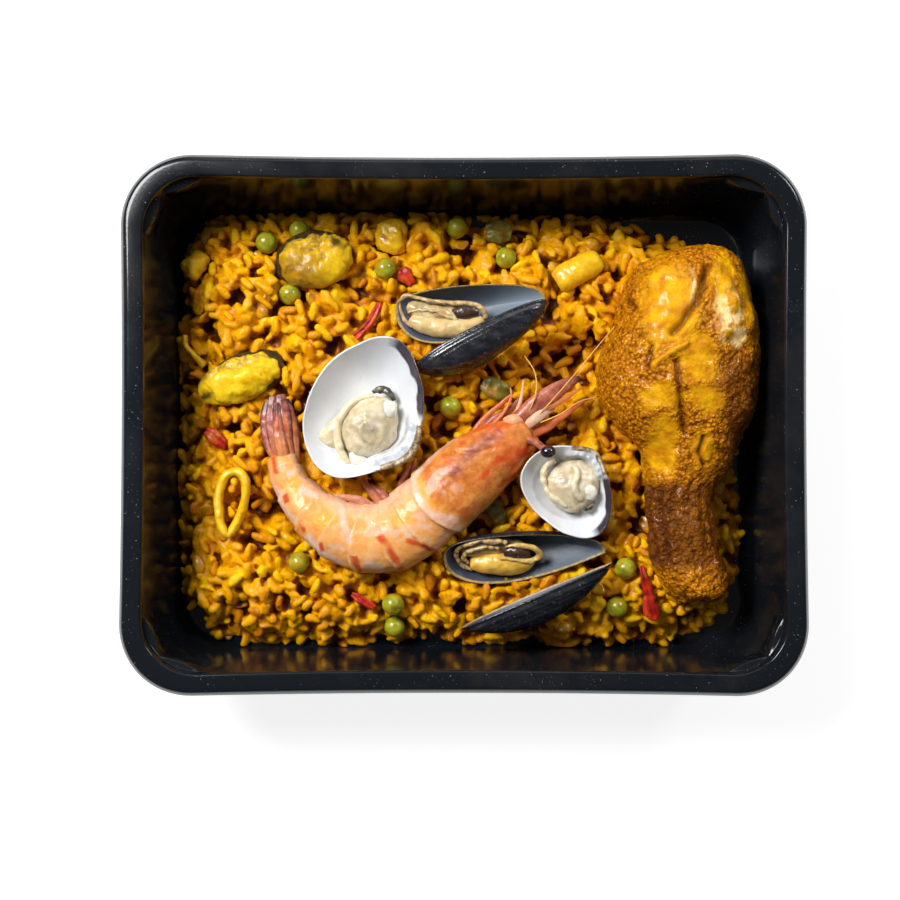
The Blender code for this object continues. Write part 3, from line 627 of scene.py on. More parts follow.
class Heap:
    """The rice's height map, which grows as grains are dropped on it and keeps them out of the toppings."""

    def __init__(self, toppings):
        self.x0, self.y0 = -MOUTH_X - 2, -MOUTH_Y - 2
        columns, rows = round(-2 * self.x0 / CELL), round(-2 * self.y0 / CELL)
        self.x, self.y = np.meshgrid(self.x0 + CELL * np.arange(columns), self.y0 + CELL * np.arange(rows))
        edge = spline(RICE_OUTLINE, np.linspace(0, 1, 240, endpoint=False), closed=True)
        self.inside = self.depth_inside(edge)
        lumps = RICE_LUMP * noise(flat(self.x, self.y, 4.2), 17, 3, 2)
        bent = flat(self.x, self.y) + 2.5 * noise(flat(self.x, self.y, 5.0), 7, 17, 2)[..., None]
        clumps = 5.0 * (np.sqrt(pebbles(bent * (1, 1, 0), 14, 8)) - 0.7)
        clumps = clumps - 4.2 * (1 - smooth(borders(bent * (1, 1, 0), 11, 27) / 0.2))
        pits = 5.5 * smooth((noise(flat(self.x, self.y, 7.0), 9, 21, 1) - 0.2) / 0.3)
        wander = 2.4 * noise(flat(self.x, self.y, 2.0), 8, 11, 2)
        edge_slope = smooth((self.inside + wander + 1.5) / 9.0)
        rise = rice_height(self.x, self.y) + lumps + clumps - pits - WALL
        self.target = WALL + rise * (0.25 + 0.75 * edge_slope)
        self.target[self.inside + wander < -1.0] = 0
        self.under = self.lowest(toppings)
        core = np.minimum(self.target - CORE_UNDER, self.under - 3.5)
        inner = smooth((self.inside + wander - 1.0) / 7.0)
        self.core = WALL + np.maximum(core - WALL, 0) * inner
        self.height = self.core.copy()
        self.tint = np.full(self.x.shape, 0.3)
        self.forms = {}

    def depth_inside(self, edge):
        """How far each cell lies inside the outline; outside it is negative."""
        best = np.full(self.x.shape, 1e9)
        crossings = np.zeros(self.x.shape, int)
        for a, b in zip(edge, np.roll(edge, -1, axis=0)):
            run = b - a
            t = np.clip(((self.x - a[0]) * run[0] + (self.y - a[1]) * run[1]) / (run @ run), 0, 1)
            best = np.minimum(best, (self.x - a[0] - t * run[0]) ** 2 + (self.y - a[1] - t * run[1]) ** 2)
            if a[1] != b[1]:
                spans = (self.y > a[1]) != (self.y > b[1])
                crossings += spans & (self.x < a[0] + run[0] * (self.y - a[1]) / run[1])
        return np.sqrt(best) * np.where(crossings % 2, 1, -1)

    def lowest(self, toppings):
        """The height of the toppings' lowest surface over each cell; far up where there is none."""
        under = np.full(self.x.shape, 1e3)
        for name in toppings:
            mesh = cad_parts[name].data
            tree = BVHTree.FromPolygons(
                [v.co / MM for v in mesh.vertices], [p.vertices[:] for p in mesh.polygons]
            )
            low, high = (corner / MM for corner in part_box(name))
            i0, j0 = int((low.x - self.x0) / CELL), int((low.y - self.y0) / CELL)
            i1, j1 = int((high.x - self.x0) / CELL) + 2, int((high.y - self.y0) / CELL) + 2
            for j in range(j0, j1):
                for i in range(i0, i1):
                    hit = tree.ray_cast(Vector((self.x[j, i], self.y[j, i], -5.0)), Vector((0, 0, 1)))[0]
                    if hit is not None:
                        under[j, i] = min(under[j, i], hit.z)
        return under

    def form(self, long, wide, tall, yaw, pitch):
        """Cell steps, height along the slope and cap of an egg of these half sizes, seen from above."""
        key = (round(long * 4), round(wide * 4), yaw, pitch)
        if key not in self.forms:
            turn, tilt = 2 * math.pi * yaw / YAWS, math.radians(pitch)
            reach = int(long / CELL) + 2
            dj, di = np.mgrid[-reach : reach + 1, -reach : reach + 1]
            along = (di * math.cos(turn) + dj * math.sin(turn)) * CELL
            across = (dj * math.cos(turn) - di * math.sin(turn)) * CELL
            half = math.hypot(long * math.cos(tilt), tall * math.sin(tilt))
            off = 1 - (along / half) ** 2 - (across / wide) ** 2
            keep = off > 0
            cap = math.hypot(long * math.sin(tilt) * 0.35, tall) * np.sqrt(off[keep])
            self.forms[key] = (dj[keep], di[keep], along[keep] * math.tan(tilt), cap)
        return self.forms[key]

    def cell_of(self, points):
        """Row and column of the cell below each point."""
        i = np.clip(np.rint((points[..., 0] - self.x0) / CELL).astype(int), 0, self.x.shape[1] - 1)
        j = np.clip(np.rint((points[..., 1] - self.y0) / CELL).astype(int), 0, self.x.shape[0] - 1)
        return j, i

    def drop(self, rng, sizes, room, tint):
        """Where a grain comes to rest at a random spot, in its lowest turn. None if it stands too high."""
        long, wide, tall = sizes
        at = rng.uniform((self.x0, self.y0), (-self.x0, -self.y0))
        i, j = int((at[0] - self.x0) / CELL), int((at[1] - self.y0) / CELL)
        if self.target[j, i] <= 0 or self.height[j, i] > self.target[j, i]:
            return None
        best = None
        for yaw, pitch in zip(rng.integers(0, YAWS, TRIES), rng.choice(PITCHES, TRIES)):
            dj, di, lean, cap = self.form(long, wide, tall, int(yaw), int(pitch))
            rows, columns = dj + j, di + i
            past = rows.max() >= self.x.shape[0] or columns.max() >= self.x.shape[1]
            if past or rows.min() < 0 or columns.min() < 0:
                continue
            z = (self.height[rows, columns] - lean + cap).max()
            if best is None or z < best[0]:
                best = (z, int(yaw), int(pitch), rows, columns, lean, cap)
        if best is None:
            return None
        z, yaw, pitch, rows, columns, lean, cap = best
        sunk = 0.25 * tall
        top = z - sunk + lean + cap
        if top.max() > self.target[j, i] + room or (top > self.under[rows, columns] - 0.15).any():
            return None
        raised = top > self.height[rows, columns]
        self.height[rows[raised], columns[raised]] = top[raised]
        self.tint[rows[raised], columns[raised]] = tint
        return self.x[j, i], self.y[j, i], z - sunk, yaw, pitch


def blurred(field, reach):
    """A height map evened out over about this many cells."""
    steps = np.arange(-3 * reach, 3 * reach + 1)
    weights = np.exp(-0.5 * (steps / reach) ** 2)
    weights /= weights.sum()
    for axis in (0, 1):
        padded = np.pad(field, [(3 * reach, 3 * reach) if k == axis else (0, 0) for k in (0, 1)], mode="edge")
        field = sum(
            w * np.take(padded, range(k, k + field.shape[axis]), axis=axis) for k, w in enumerate(weights)
        )
    return field


GRAIN_AROUND = 8
GRAIN_RINGS = 7
RICE_KINDS = {  # share of all drops, half length, half width, half height, how much sizes vary
    "long": (0.46, 3.5, 1.5, 1.35, 0.18),
    "short": (0.3, 2.6, 1.5, 1.35, 0.25),
    "lump": (0.215, 4.4, 3.6, 3.2, 0.35),
    "flake": (0.025, 3.4, 2.3, 0.6, 0.25),
}
DROPS = 70000
TRIES = 2
LEAST_SHOWN = 0.06  # a grain that shows less of its outline than this from above is left out
LOOSE_SHOWN = 0.86  # one that shows more than this may lie loose on top


def dropped_rice(settings, heap, rng):
    """Where the bodies of each kind came to rest: rows of place, turn, size, tint and share that shows."""
    kinds = list(RICE_KINDS)
    shares = np.array([RICE_KINDS[kind][0] for kind in kinds])
    picks = rng.choice(len(kinds), DROPS, p=shares / shares.sum())
    grow = settings.grain_length / MM / GRAIN_LENGTH
    rows, of_kind = [], []
    for pick in picks:
        _, long, wide, tall, vary = RICE_KINDS[kinds[pick]]
        scale = 1 + vary * rng.uniform(-1, 1, 3)
        sizes = (long * grow * scale[0], wide * scale[1], tall * scale[2])
        tint = rng.uniform()
        rest = heap.drop(rng, sizes, rng.uniform(0.6, 3.0), tint)
        if rest:
            rows.append((*rest, *sizes, tint))
            of_kind.append(kinds[pick])
    rows, of_kind = np.array(rows), np.array(of_kind)
    seen = np.array([shown_share(heap, row) for row in rows])
    kept = seen > LEAST_SHOWN
    rows = np.column_stack([rows, seen])
    return {kind: rows[kept & (of_kind == kind)] for kind in kinds}


def shown_share(heap, row):
    """The share of a body's outline that nothing covers, seen from above."""
    x, y, z, yaw, pitch, long, wide, tall, _ = row
    dj, di, lean, cap = heap.form(long, wide, tall, int(yaw), int(pitch))
    j, i = int(round((y - heap.y0) / CELL)), int(round((x - heap.x0) / CELL))
    free = heap.height[dj + j, di + i] < z + lean + cap + 0.35
    return free.mean()


def grain_form(rng, count):
    """Unit grains, each a little bent, pinched and blunt in its own way: count x points x 3."""
    t = np.sin(np.linspace(-np.pi / 2, np.pi / 2, GRAIN_RINGS + 2)[1:-1])
    turn = ring_turns(GRAIN_AROUND)
    blunt = rng.uniform(2.6, 3.8, (count, 1, 1))
    girth = np.sqrt(1 - np.abs(t)[None, :, None] ** blunt)
    wave = 0.1 * np.sin(3.4 * t[None, :, None] + rng.uniform(0, 6.3, (count, 1, 1)))
    dent = 0.1 * np.cos(2 * turn[None, None, :] + rng.uniform(0, 6.3, (count, 1, 1)))
    taper = 1 + 0.18 * t[None, :, None] * rng.choice((-1, 1), (count, 1, 1))
    reach = girth * taper * (1 + wave + dent)
    x = np.broadcast_to(t[None, :, None], reach.shape)
    body = np.stack([x, reach * np.cos(turn), reach * np.sin(turn)], axis=-1).reshape(count, -1, 3)
    tips = np.zeros((count, 2, 3))
    tips[:, 0, 0], tips[:, 1, 0] = -1, 1
    points = np.concatenate([body, tips], axis=1)
    bend = rng.uniform(-0.34, 0.34, (count, 1))
    points[..., 1] += bend * (points[..., 0] ** 2 - 0.4)
    return points


def grain_faces():
    """The outward faces of a grain's skin, with a fan over each tip."""
    return closed_loft(np.zeros((GRAIN_RINGS, GRAIN_AROUND, 3)))[1]


def turns_of(rows, rng):
    """A rotation for each row of (x, y, z, yaw, pitch, ...), with a free roll."""
    yaw, pitch = 2 * np.pi * rows[:, 3] / YAWS, np.radians(rows[:, 4])
    yaw = yaw + rng.uniform(-0.12, 0.12, len(rows))
    roll = rng.uniform(-0.5, 0.5, len(rows))
    zero, one = np.zeros(len(rows)), np.ones(len(rows))

    def about(*entries):
        return np.stack(entries, axis=-1).reshape(-1, 3, 3)

    z_turn = about(np.cos(yaw), -np.sin(yaw), zero, np.sin(yaw), np.cos(yaw), zero, zero, zero, one)
    y_turn = about(np.cos(pitch), zero, -np.sin(pitch), zero, one, zero, np.sin(pitch), zero, np.cos(pitch))
    x_turn = about(one, zero, zero, zero, np.cos(roll), -np.sin(roll), zero, np.sin(roll), np.cos(roll))
    return z_turn @ y_turn @ x_turn


def sauce_and_shade_depth(heap, around, points):
    """How deep each point lies in the gaps, 0 on top to 1 in the depths: for the sauce stain and painted shade.
    """
    j, i = heap.cell_of(points)
    return smooth((around[j, i] + 1.2 - points[..., 2]) / 4.6)


def add_bodies(shape, heap, around, forms, faces, rows, rng):
    """Puts a unit body at each row's place, turn and size, with its own tint and the depth of its points."""
    sized = forms * rows[:, None, 5:8]
    placed = np.einsum("nij,npj->npi", turns_of(rows, rng), sized) + rows[:, None, :3]
    placed = kept_in_tray(placed)
    count, each = placed.shape[:2]
    steps = (np.arange(count) * each)[:, None, None]
    all_faces = [(f[None] + steps).reshape(-1, f.shape[1]) for f in faces]
    shape.add(placed, all_faces, tint=np.repeat(rows[:, 8], each), sauce=sauce_and_shade_depth(heap, around, placed))


LUMP_GRAINS = 8


def lump_grains(rows, rng):
    """The grains of lumps that cooked together: short ones leaning on each other every way."""
    members = np.repeat(rows, LUMP_GRAINS, axis=0)
    around = rng.uniform(0, 2 * np.pi, len(members))
    out = rng.uniform(0.15, 0.75, len(members))
    offset = np.stack(
        [np.cos(around) * out, np.sin(around) * out, rng.uniform(-0.2, 0.6, len(members))], axis=1
    )
    turns = np.repeat(turns_of(rows, rng), LUMP_GRAINS, axis=0)
    members[:, :3] += np.einsum("nij,nj->ni", turns, offset * members[:, 5:8])
    members[:, 3] = rng.integers(0, YAWS, len(members))
    members[:, 4] = rng.uniform(-50, 50, len(members))
    members[:, 5:8] = (2.6, 1.45, 1.3) * rng.uniform(0.75, 1.2, (len(members), 3))
    return members


def melted(shape, voxel, ease, most):
    """Points, faces and normals of one skin melted from the shape's bodies, of at most so many triangles."""
    obj = shape.piece("melting")
    melt = obj.modifiers.new("Melt", "REMESH")
    melt.mode, melt.voxel_size, melt.use_smooth_shade = "VOXEL", voxel * MM, True
    calm = obj.modifiers.new("Ease", "SMOOTH")
    calm.factor, calm.iterations = 0.5, ease
    graph = bpy.context.evaluated_depsgraph_get()
    found = len(obj.evaluated_get(graph).data.polygons) * 2
    if found > most:
        thin = obj.modifiers.new("Thin", "DECIMATE")
        thin.ratio = most / found
        graph = bpy.context.evaluated_depsgraph_get()
    mesh = bpy.data.meshes.new_from_object(obj.evaluated_get(graph))
    bpy.data.objects.remove(obj)
    points = np.zeros(len(mesh.vertices) * 3, np.float32)
    mesh.vertices.foreach_get("co", points)
    normals = np.zeros(len(points), np.float32)
    mesh.vertices.foreach_get("normal", normals)
    corners = np.zeros(len(mesh.loops), np.int32)
    mesh.loops.foreach_get("vertex_index", corners)
    sizes = np.zeros(len(mesh.polygons), np.int32)
    mesh.polygons.foreach_get("loop_total", sizes)
    starts = np.cumsum(sizes) - sizes
    faces = [corners[starts[sizes == n][:, None] + np.arange(n)] for n in (3, 4) if (sizes == n).any()]
    bpy.data.meshes.remove(mesh)
    return points.reshape(-1, 3).astype(float) / MM, faces, normals.reshape(-1, 3).astype(float)


def ball_form(rounds):
    """The points and faces of a ball of radius 1."""
    mesh = bmesh.new()
    bmesh.ops.create_icosphere(mesh, subdivisions=rounds, radius=1)
    points = np.array([v.co[:] for v in mesh.verts])
    faces = np.array([[v.index for v in f.verts] for f in mesh.faces])
    mesh.free()
    return points, faces


def rice_look(settings):
    look = Look("rice_grain", 0.3, Coat_Weight=0.1, Coat_Roughness=0.04, IOR=1.25)
    tint, sauce = look.values("tint", "sauce")
    patch = look.noise(5.5, 3)
    pale, main, deep = settings.pale_colour, settings.grain_colour, settings.deep_colour
    base = look.ramp(look.plus(look.times(tint, 0.75), look.times(patch, 0.3)),
                     (0.1, deep), (0.42, main), (0.72, main), (0.98, pale))
    # Deep in the gaps the grains take the sauce colour, then near black: sauce stain and painted shade by
    # depth.
    wet = look.plus(sauce, look.times(look.maths("SUBTRACT", look.noise(9, 3), 0.5), 0.7), clamp=True)
    stained = look.mix(look.range(wet, 0.08, 0.62), base, settings.sauce_and_shade_colour)
    # painted shade: near black at the bottom of the gaps between the grains
    dark = look.mix(look.range(wet, 0.42, 0.85), stained, (0.11, 0.024, 0.0008))
    specks = look.specks(1.5, (0.1, 0.06), 7, 0.5, 0.56)
    look.paint(look.mix(look.times(specks, 0.7), dark, (0.12, 0.03, 0.004)))
    look.dull(2.2, 2, 0.14, 0.3)
    look.bumpy(1.2, 3, 0.42)
    look.bumpy(0.45, 2, 0.12)
    return look.translucent(0.3, (1.5, 0.75, 0.03))


def onion_look():
    look = Look("cooked_onion", 0.22, Coat_Weight=0.4, Coat_Roughness=0.08)
    sauce = look.value("sauce")
    base = look.ramp(
        look.noise(3.0, 3, stretch=(1, 1, 2)), (0.3, (0.42, 0.15, 0.004)), (0.55, (0.62, 0.29, 0.008)),
        (0.8, (0.76, 0.44, 0.02))
    )
    # Flakes deep in the gaps are painted dark brown: sauce stain and painted shade by depth
    look.paint(look.mix(look.times(sauce, 0.7), base, (0.18, 0.045, 0.003)))
    look.bumpy(1.2, 2, 0.15)
    return look.translucent(0.4, (2.0, 0.9, 0.2))


GRAIN_LENGTH = 7.5
SAUCE_UNDER = 0.5
CORE_STEP = 2  # cells between the core's points


def make_core(heap, level):
    """The sauce and the rice below the grains: a closed block whose top follows the heap a little lower."""
    fields = (heap.x, heap.y, level, heap.under, heap.core, heap.inside)
    x, y, level, under, core, inside = (field[::CORE_STEP, ::CORE_STEP] for field in fields)
    loose = noise(flat(x, y, 3.0), 7, 31, 2)
    top = level - SAUCE_UNDER - 1.7 * loose + 0.4 * noise(flat(x, y, 9.0), 1.8, 5)
    top = np.maximum(np.minimum(top, under - 0.4), core)
    kept = (top > WALL + 1.2) & (inside > -3)
    cells = kept[:-1, :-1] & kept[1:, :-1] & kept[:-1, 1:] & kept[1:, 1:]
    used = np.zeros(kept.shape, bool)
    for row, column in np.ndindex(2, 2):
        used[row : len(used) - 1 + row, column : used.shape[1] - 1 + column] |= cells
    index = np.full(kept.shape, -1)
    index[used] = np.arange(used.sum())
    upper = np.column_stack([x[used], y[used], top[used]])
    lower = np.column_stack([x[used], y[used], np.full(used.sum(), WALL + 0.1)])
    quad = np.stack([index[:-1, :-1], index[:-1, 1:], index[1:, 1:], index[1:, :-1]], axis=-1)[cells]
    ends = np.concatenate([quad[:, [k, (k + 1) % 4]] for k in range(4)])
    codes = ends[:, 0] * len(upper) + ends[:, 1]
    back = ends[:, 1] * len(upper) + ends[:, 0]
    rim = ends[~np.isin(codes, back)]
    side = np.column_stack([rim[:, 1], rim[:, 0], rim[:, 0] + len(upper), rim[:, 1] + len(upper)])
    # The core is painted at depth 0.75: sauce colour and painted shade, since it shows only down in the gaps
    return Shape().add(
        np.concatenate([upper, lower]), [quad, quad[:, ::-1] + len(upper), side], tint=0.35, sauce=0.75
    )


RICE_VOXEL = 0.5
MOST_TRIANGLES = 196000


def bedded_rice(heap, around, rows, lumps, rng):
    """The grains that lie half sunk in the sauce, melted into one skin with the core below them."""
    raw = make_core(heap, blurred(heap.height, 3))
    add_bodies(raw, heap, around, grain_form(rng, len(rows)), grain_faces(), rows, rng)
    add_bodies(raw, heap, around, grain_form(rng, len(lumps)), grain_faces(), lumps, rng)
    points, faces, normals = melted(raw, RICE_VOXEL, 1, MOST_TRIANGLES)
    points = points + normals * (0.42 * noise(points, 2.4, 4, 2) + 0.28 * noise(points, 1.3, 6))[:, None]
    points = kept_in_tray(points)
    j, i = heap.cell_of(points)
    return Shape().add(points, faces, tint=heap.tint[j, i], sauce=sauce_and_shade_depth(heap, around, points))


def make_rice(settings):
    rng = np.random.default_rng(settings.seed)
    toppings = sorted(set(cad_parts) - {"tray", "rice_bed"})
    heap = Heap(toppings)
    rows = dropped_rice(settings, heap, rng)
    around = blurred(heap.height, 8)
    grains = np.concatenate([rows["long"], rows["short"]])
    loose = (grains[:, 9] > LOOSE_SHOWN) & (rng.uniform(size=len(grains)) < 0.25)
    bedded = np.concatenate([grains[~loose], lump_grains(rows["lump"], rng)])
    hearts = rows["lump"].copy()
    hearts[:, 5:8] *= 0.78
    look = rice_look(settings)
    shown(bedded_rice(heap, around, bedded, hearts, rng).piece("rice_bedded", look), "rice", "rice_bed")
    shape = Shape()
    add_bodies(shape, heap, around, grain_form(rng, loose.sum()), grain_faces(), grains[loose], rng)
    shown(shape.piece("rice_loose", look), "rice", "rice_bed")
    points, faces = ball_form(2)
    flakes = rows["flake"]
    each = np.repeat(points[None], len(flakes), axis=0).copy()
    cupped = 1.1 * (each[..., 0] ** 2 + 0.6 * each[..., 1] ** 2)
    each[..., 2] += cupped * rng.choice((-1, 1), (len(flakes), 1))
    ragged = each + 7.0 * np.arange(len(flakes))[:, None, None]
    each[..., :2] *= 1 + 0.45 * noise(ragged, 0.8, 3, 2)[..., None]
    each[..., 2] += 0.5 * noise(ragged, 0.9, 6)
    shape = Shape()
    add_bodies(shape, heap, around, each, [faces], flakes, rng)
    shown(shape.piece("onion_flakes", onion_look()), "rice", "rice_bed")


# ---- bodies


def lifted(grid, amount):
    """The grid of closed rings moved outwards, away from the rings' middles, by this many millimetres."""
    out = normals_of(grid)
    if (out * (grid - grid.mean(axis=1, keepdims=True))).sum() < 0:
        out = -out
    return grid + out * np.asarray(amount)[..., None]


def add_skin(shape, grid, where=None, **values):
    """Adds a closed body whose skin is this grid of rings. Each value is a number, or one for each point."""
    points, faces = closed_loft(grid)
    if where is not None:
        points = moved(points, where)
    full = {}
    for name, value in values.items():
        value = np.broadcast_to(value, grid.shape[:2])
        full[name] = np.concatenate([value.ravel(), [value[0].mean(), value[-1].mean()]])
    return shape.add(points, outward(points, faces), **full)


def swept(keys, steps, around, tip):
    """Rings of a round-ended body through keys of (x, y, z, half width, half height)."""
    return sections(*round_ended(keys, steps, tip), around)


def shares_of(grid):
    """How far along the body each ring lies, and each point's turn about its ring, as two grids."""
    rows, columns = grid.shape[:2]
    along = np.linspace(0, 1, rows)[:, None] * np.ones(columns)
    turn = ring_turns(columns)[None, :] * np.ones((rows, 1))
    return along, turn


def patch(x, y, spot):
    """1 in the middle of an oval spot (x, y, reach in x, reach in y), falling to 0 at its edge."""
    return smooth(1 - np.hypot((x - spot[0]) / spot[2], (y - spot[1]) / spot[3]))


def groove(x, y, route, reach):
    """1 along a route seen from above, falling to 0 at a reach on either side and at its ends."""
    off, along = from_line(x, y, route)
    return smooth(1 - off / reach) * smooth(np.minimum(along, 1 - along) / 0.06 + 0.2)


# ---- chicken drumstick

# (y, left x, right x, middle z, half height), from the meaty end to the knuckle
DRUMSTICK = (
    (62.1, 77.1, 87.6, 27.0, 4.0),
    (54.4, 61.1, 95.9, 26.0, 16.0),
    (37.4, 53.5, 100.1, 26.0, 21.0),
    (19.4, 47.9, 101.0, 26.0, 21.6),
    (6.4, 49.7, 99.3, 26.0, 19.6),
    (-7.6, 61.7, 92.6, 25.2, 15.4),
    (-24.6, 63.1, 84.6, 24.5, 11.6),
    (-42.6, 65.5, 87.8, 24.5, 11.6),
    (-55.6, 69.7, 89.3, 24.0, 9.4),
    (-60.3, 75.1, 82.5, 23.5, 3.6),
)
DRUMSTICK_GRID = (285, 315)
SKIN_CREASES = (  # route seen from above, reach to each side, depth
    (((82.2, 54.4), (79.8, 47.0), (77.4, 40.6), (73.0, 34.0), (68.4, 28.8)), 2.2, 2.6),
    (((62.8, 27.0), (61.7, 18.4)), 1.5, 1.4),
    (((70.6, 22.0), (71.2, 14.4), (72.3, 4.4), (73.8, -4.4)), 1.8, 1.9),
    (((57.0, 49.5), (55.6, 44.0), (58.0, 39.0)), 1.8, 2.0),
    (((80.6, -3.0), (79.2, -9.0), (81.5, -14.0)), 1.6, 1.6),
)
SKIN_STRAND = ((74.4, 27.4), (68.0, 23.4), (62.3, 18.8))
BARE_SKIN = (  # middle seen from above and reach in x and y
    (68.8, 38.5, 14.5, 26.0), (86.2, 47.0, 8.0, 17.0), (95.5, 44.0, 6.0, 17.0), (77.5, 21.9, 11.0, 15.0),
    (66.0, 9.7, 11.0, 7.4), (80.2, 8.4, 10.0, 7.4), (67.6, -6.6, 8.0, 17.0), (80.3, -7.6, 6.0, 11.0),
)
SKIN_LUMPS = (
    (89.5, 40.5, 5.0, 5.0), (90.8, 33.0, 5.2, 5.0), (85.6, 30.5, 4.0, 4.0), (86.8, 46.5, 3.6, 4.2),
    (60.6, 54.4, 5.0, 4.0), (94.0, 6.0, 6.0, 8.0)
)
# Spots painted pale yellow-white as a painted highlight on the glossy skin: middle seen from above and reach in
# x and y
PAINTED_HIGHLIGHT_SPOTS = ((87.8, 36.0, 6.0, 12.5), (91.0, 29.0, 4.0, 6.0), (75.6, 46.0, 2.0, 7.0))
SHANK_TOP, SHANK_END = -17.0, -51.0


def drumstick_look(settings):
    look = Look("roast_chicken_skin", 0.34, Coat_Weight=0.2, Coat_Roughness=0.08, IOR=1.2)
    bare, deep, shank, wet = look.values("bare", "deep", "shank", "wet")
    mottle = look.noise(2.6, 5, 0.65)
    skin, dark = settings.skin_colour, settings.browned_colour
    grains = look.maths("SUBTRACT", 1.0, look.cells(1.15))
    speckle = look.plus(look.times(grains, 0.75), look.times(mottle, 0.62))
    # crumbs are darkest at each granule's border, where the bump sinks, and lightest at its middle
    crumbs = look.ramp(speckle, (0.48, dark), (0.66, skin), (0.84, skin), (0.98, (0.88, 0.45, 0.012)))
    yellow = look.mottled((4.0, 4), (0.35, (0.54, 0.2, 0.003)), (0.65, settings.bare_colour))
    ragged = look.times(look.maths("SUBTRACT", look.noise(1.8, 5, 0.7), 0.5), 1.3)
    base = look.mix(look.range(look.plus(bare, ragged), 0.0, 0.8), crumbs, yellow)
    base = look.mix(
        look.times(shank, 0.95), base,
        look.ramp(mottle, (0.3, (0.06, 0.012, 0.002)), (0.75, (0.26, 0.075, 0.005)))
    )
    # painted highlight: pale yellow-white painted over the highlight spots, broken by a noise
    painted_highlight = look.times(wet, look.range(look.noise(3.2, 4, 0.6), 0.42, 0.56))
    base = look.mix(look.times(painted_highlight, 0.75), base, (0.98, 0.8, 0.42))
    # painted shade: near black in the creases, the shank's pleats and the low spots between the crumbs
    base = look.mix(look.range(deep, 0.15, 1.0), base, (0.09, 0.018, 0.0006))
    look.paint(base)
    look.dull(1.6, 2, settings.skin_gloss, settings.skin_gloss + 0.2)
    rough = look.range(bare, 0.1, 0.9, 1.0, 0.25)
    look.bump(look.times(grains, rough), 0.6)
    look.bump(look.times(look.noise(0.7, 3), rough), 0.45)
    look.bumpy(1.7, 2, 0.12)
    return look.translucent(0.25, (1.6, 0.7, 0.2))


def make_drumstick(settings):
    rows, columns = DRUMSTICK_GRID
    t = np.linspace(0, 1, rows)
    y, left, right, z, tall = (v[:, None] for v in spline(DRUMSTICK, t).T)
    shut = np.sqrt(smooth(np.minimum(t, 1 - t) / 0.03) * 0.96 + 0.04)[:, None]
    turn = ring_turns(columns)
    x = (left + right) / 2 + np.cos(turn) * shut * (right - left) / 2
    grid = np.stack([x, y + 0 * x, z + np.sin(turn) * shut * tall], axis=-1)
    px, py = grid[..., 0], grid[..., 1]
    upper = smooth((grid[..., 2] - z) / tall * 1.6 + 0.3)
    lumps = 1.3 * noise(grid, 11, 2, 2) + 0.9 * noise(grid, 4.8, 7, 2)
    bx, by = px + 2.4 * noise(grid, 5, 12, 2), py + 3.2 * noise(grid, 6, 13, 2)
    bare = np.max([patch(bx, by, spot) for spot in BARE_SKIN], axis=0)
    bare = smooth((bare + 0.2 * noise(grid, 2.6, 15, 2)) / 0.85) * upper
    below = 0.8 * smooth((noise(grid, 17, 5, 2) - 0.12) / 0.25) * (1 - upper)
    bare = np.maximum(bare, below)
    # The spots of painted highlight, where the skin is also left smooth
    wet = np.clip(1.6 * np.max([patch(bx, by, spot) for spot in PAINTED_HIGHLIGHT_SPOTS], axis=0), 0, 1) * upper
    bare = np.maximum(bare, wet)
    swollen = np.max([patch(px, py, spot) for spot in SKIN_LUMPS], axis=0) * upper
    strand = groove(px, py, SKIN_STRAND, 1.7) * upper
    crumb = 0.85 * pebbles(grid, 2.5, 3) + 0.5 * pebbles(grid, 1.3, 5) + 0.25 * noise(grid, 1.0, 8)
    crumb = crumb + 0.8 * bare * (crumb.mean() + 0.1 - crumb)
    creases = [groove(px + 0.7 * noise(grid, 5, 14), py, route, reach) for route, reach, _ in SKIN_CREASES]
    cut = sum(c * depth for c, (_, _, depth) in zip(creases, SKIN_CREASES)) * upper
    shank = smooth((SHANK_TOP - py) / 5) * smooth((py - SHANK_END) / 5)
    dark_side = smooth((76.0 - px + 1.5 * noise(grid, 6, 3)) / 7)
    folds = 0.5 + 0.5 * np.sin(15 * turn + 0.9 * noise(grid, 7, 30) + 0.03 * py)
    pleats = folds * shank * (0.35 + 0.65 * dark_side)
    fold_edge = groove(px - 2.3, py, SKIN_CREASES[0][0], 3.6) * upper
    relief = lumps + crumb + 1.3 * strand + 1.5 * swollen + 1.1 * fold_edge - cut - 1.3 * pleats
    grid = lifted(grid, relief * np.sqrt(shut))
    # painted shade: the creases, the pleats on the shank's left side and the low spots between the crumbs
    deep = np.maximum(np.max(creases, axis=0) * upper * 0.8, 0.75 * pleats * dark_side)
    deep = np.maximum(deep, 0.5 * smooth((0.5 - crumb) / 0.45) * (1 - bare))
    shape = Shape()
    brown_side = 0.8 * smooth((px - 81.0 + 3 * noise(grid, 7, 19)) / 9) * smooth((27.0 - py) / 9) * upper
    brown = np.maximum(shank * (0.85 + 0.15 * dark_side), brown_side * (1 - 0.6 * bare))
    add_skin(shape, grid, bare=np.maximum(bare, 0.9 * strand), deep=deep, shank=brown, wet=wet)
    return shown(shape.piece("drumstick_skin", drumstick_look(settings)), "chicken", "drumstick")


# ---- shells


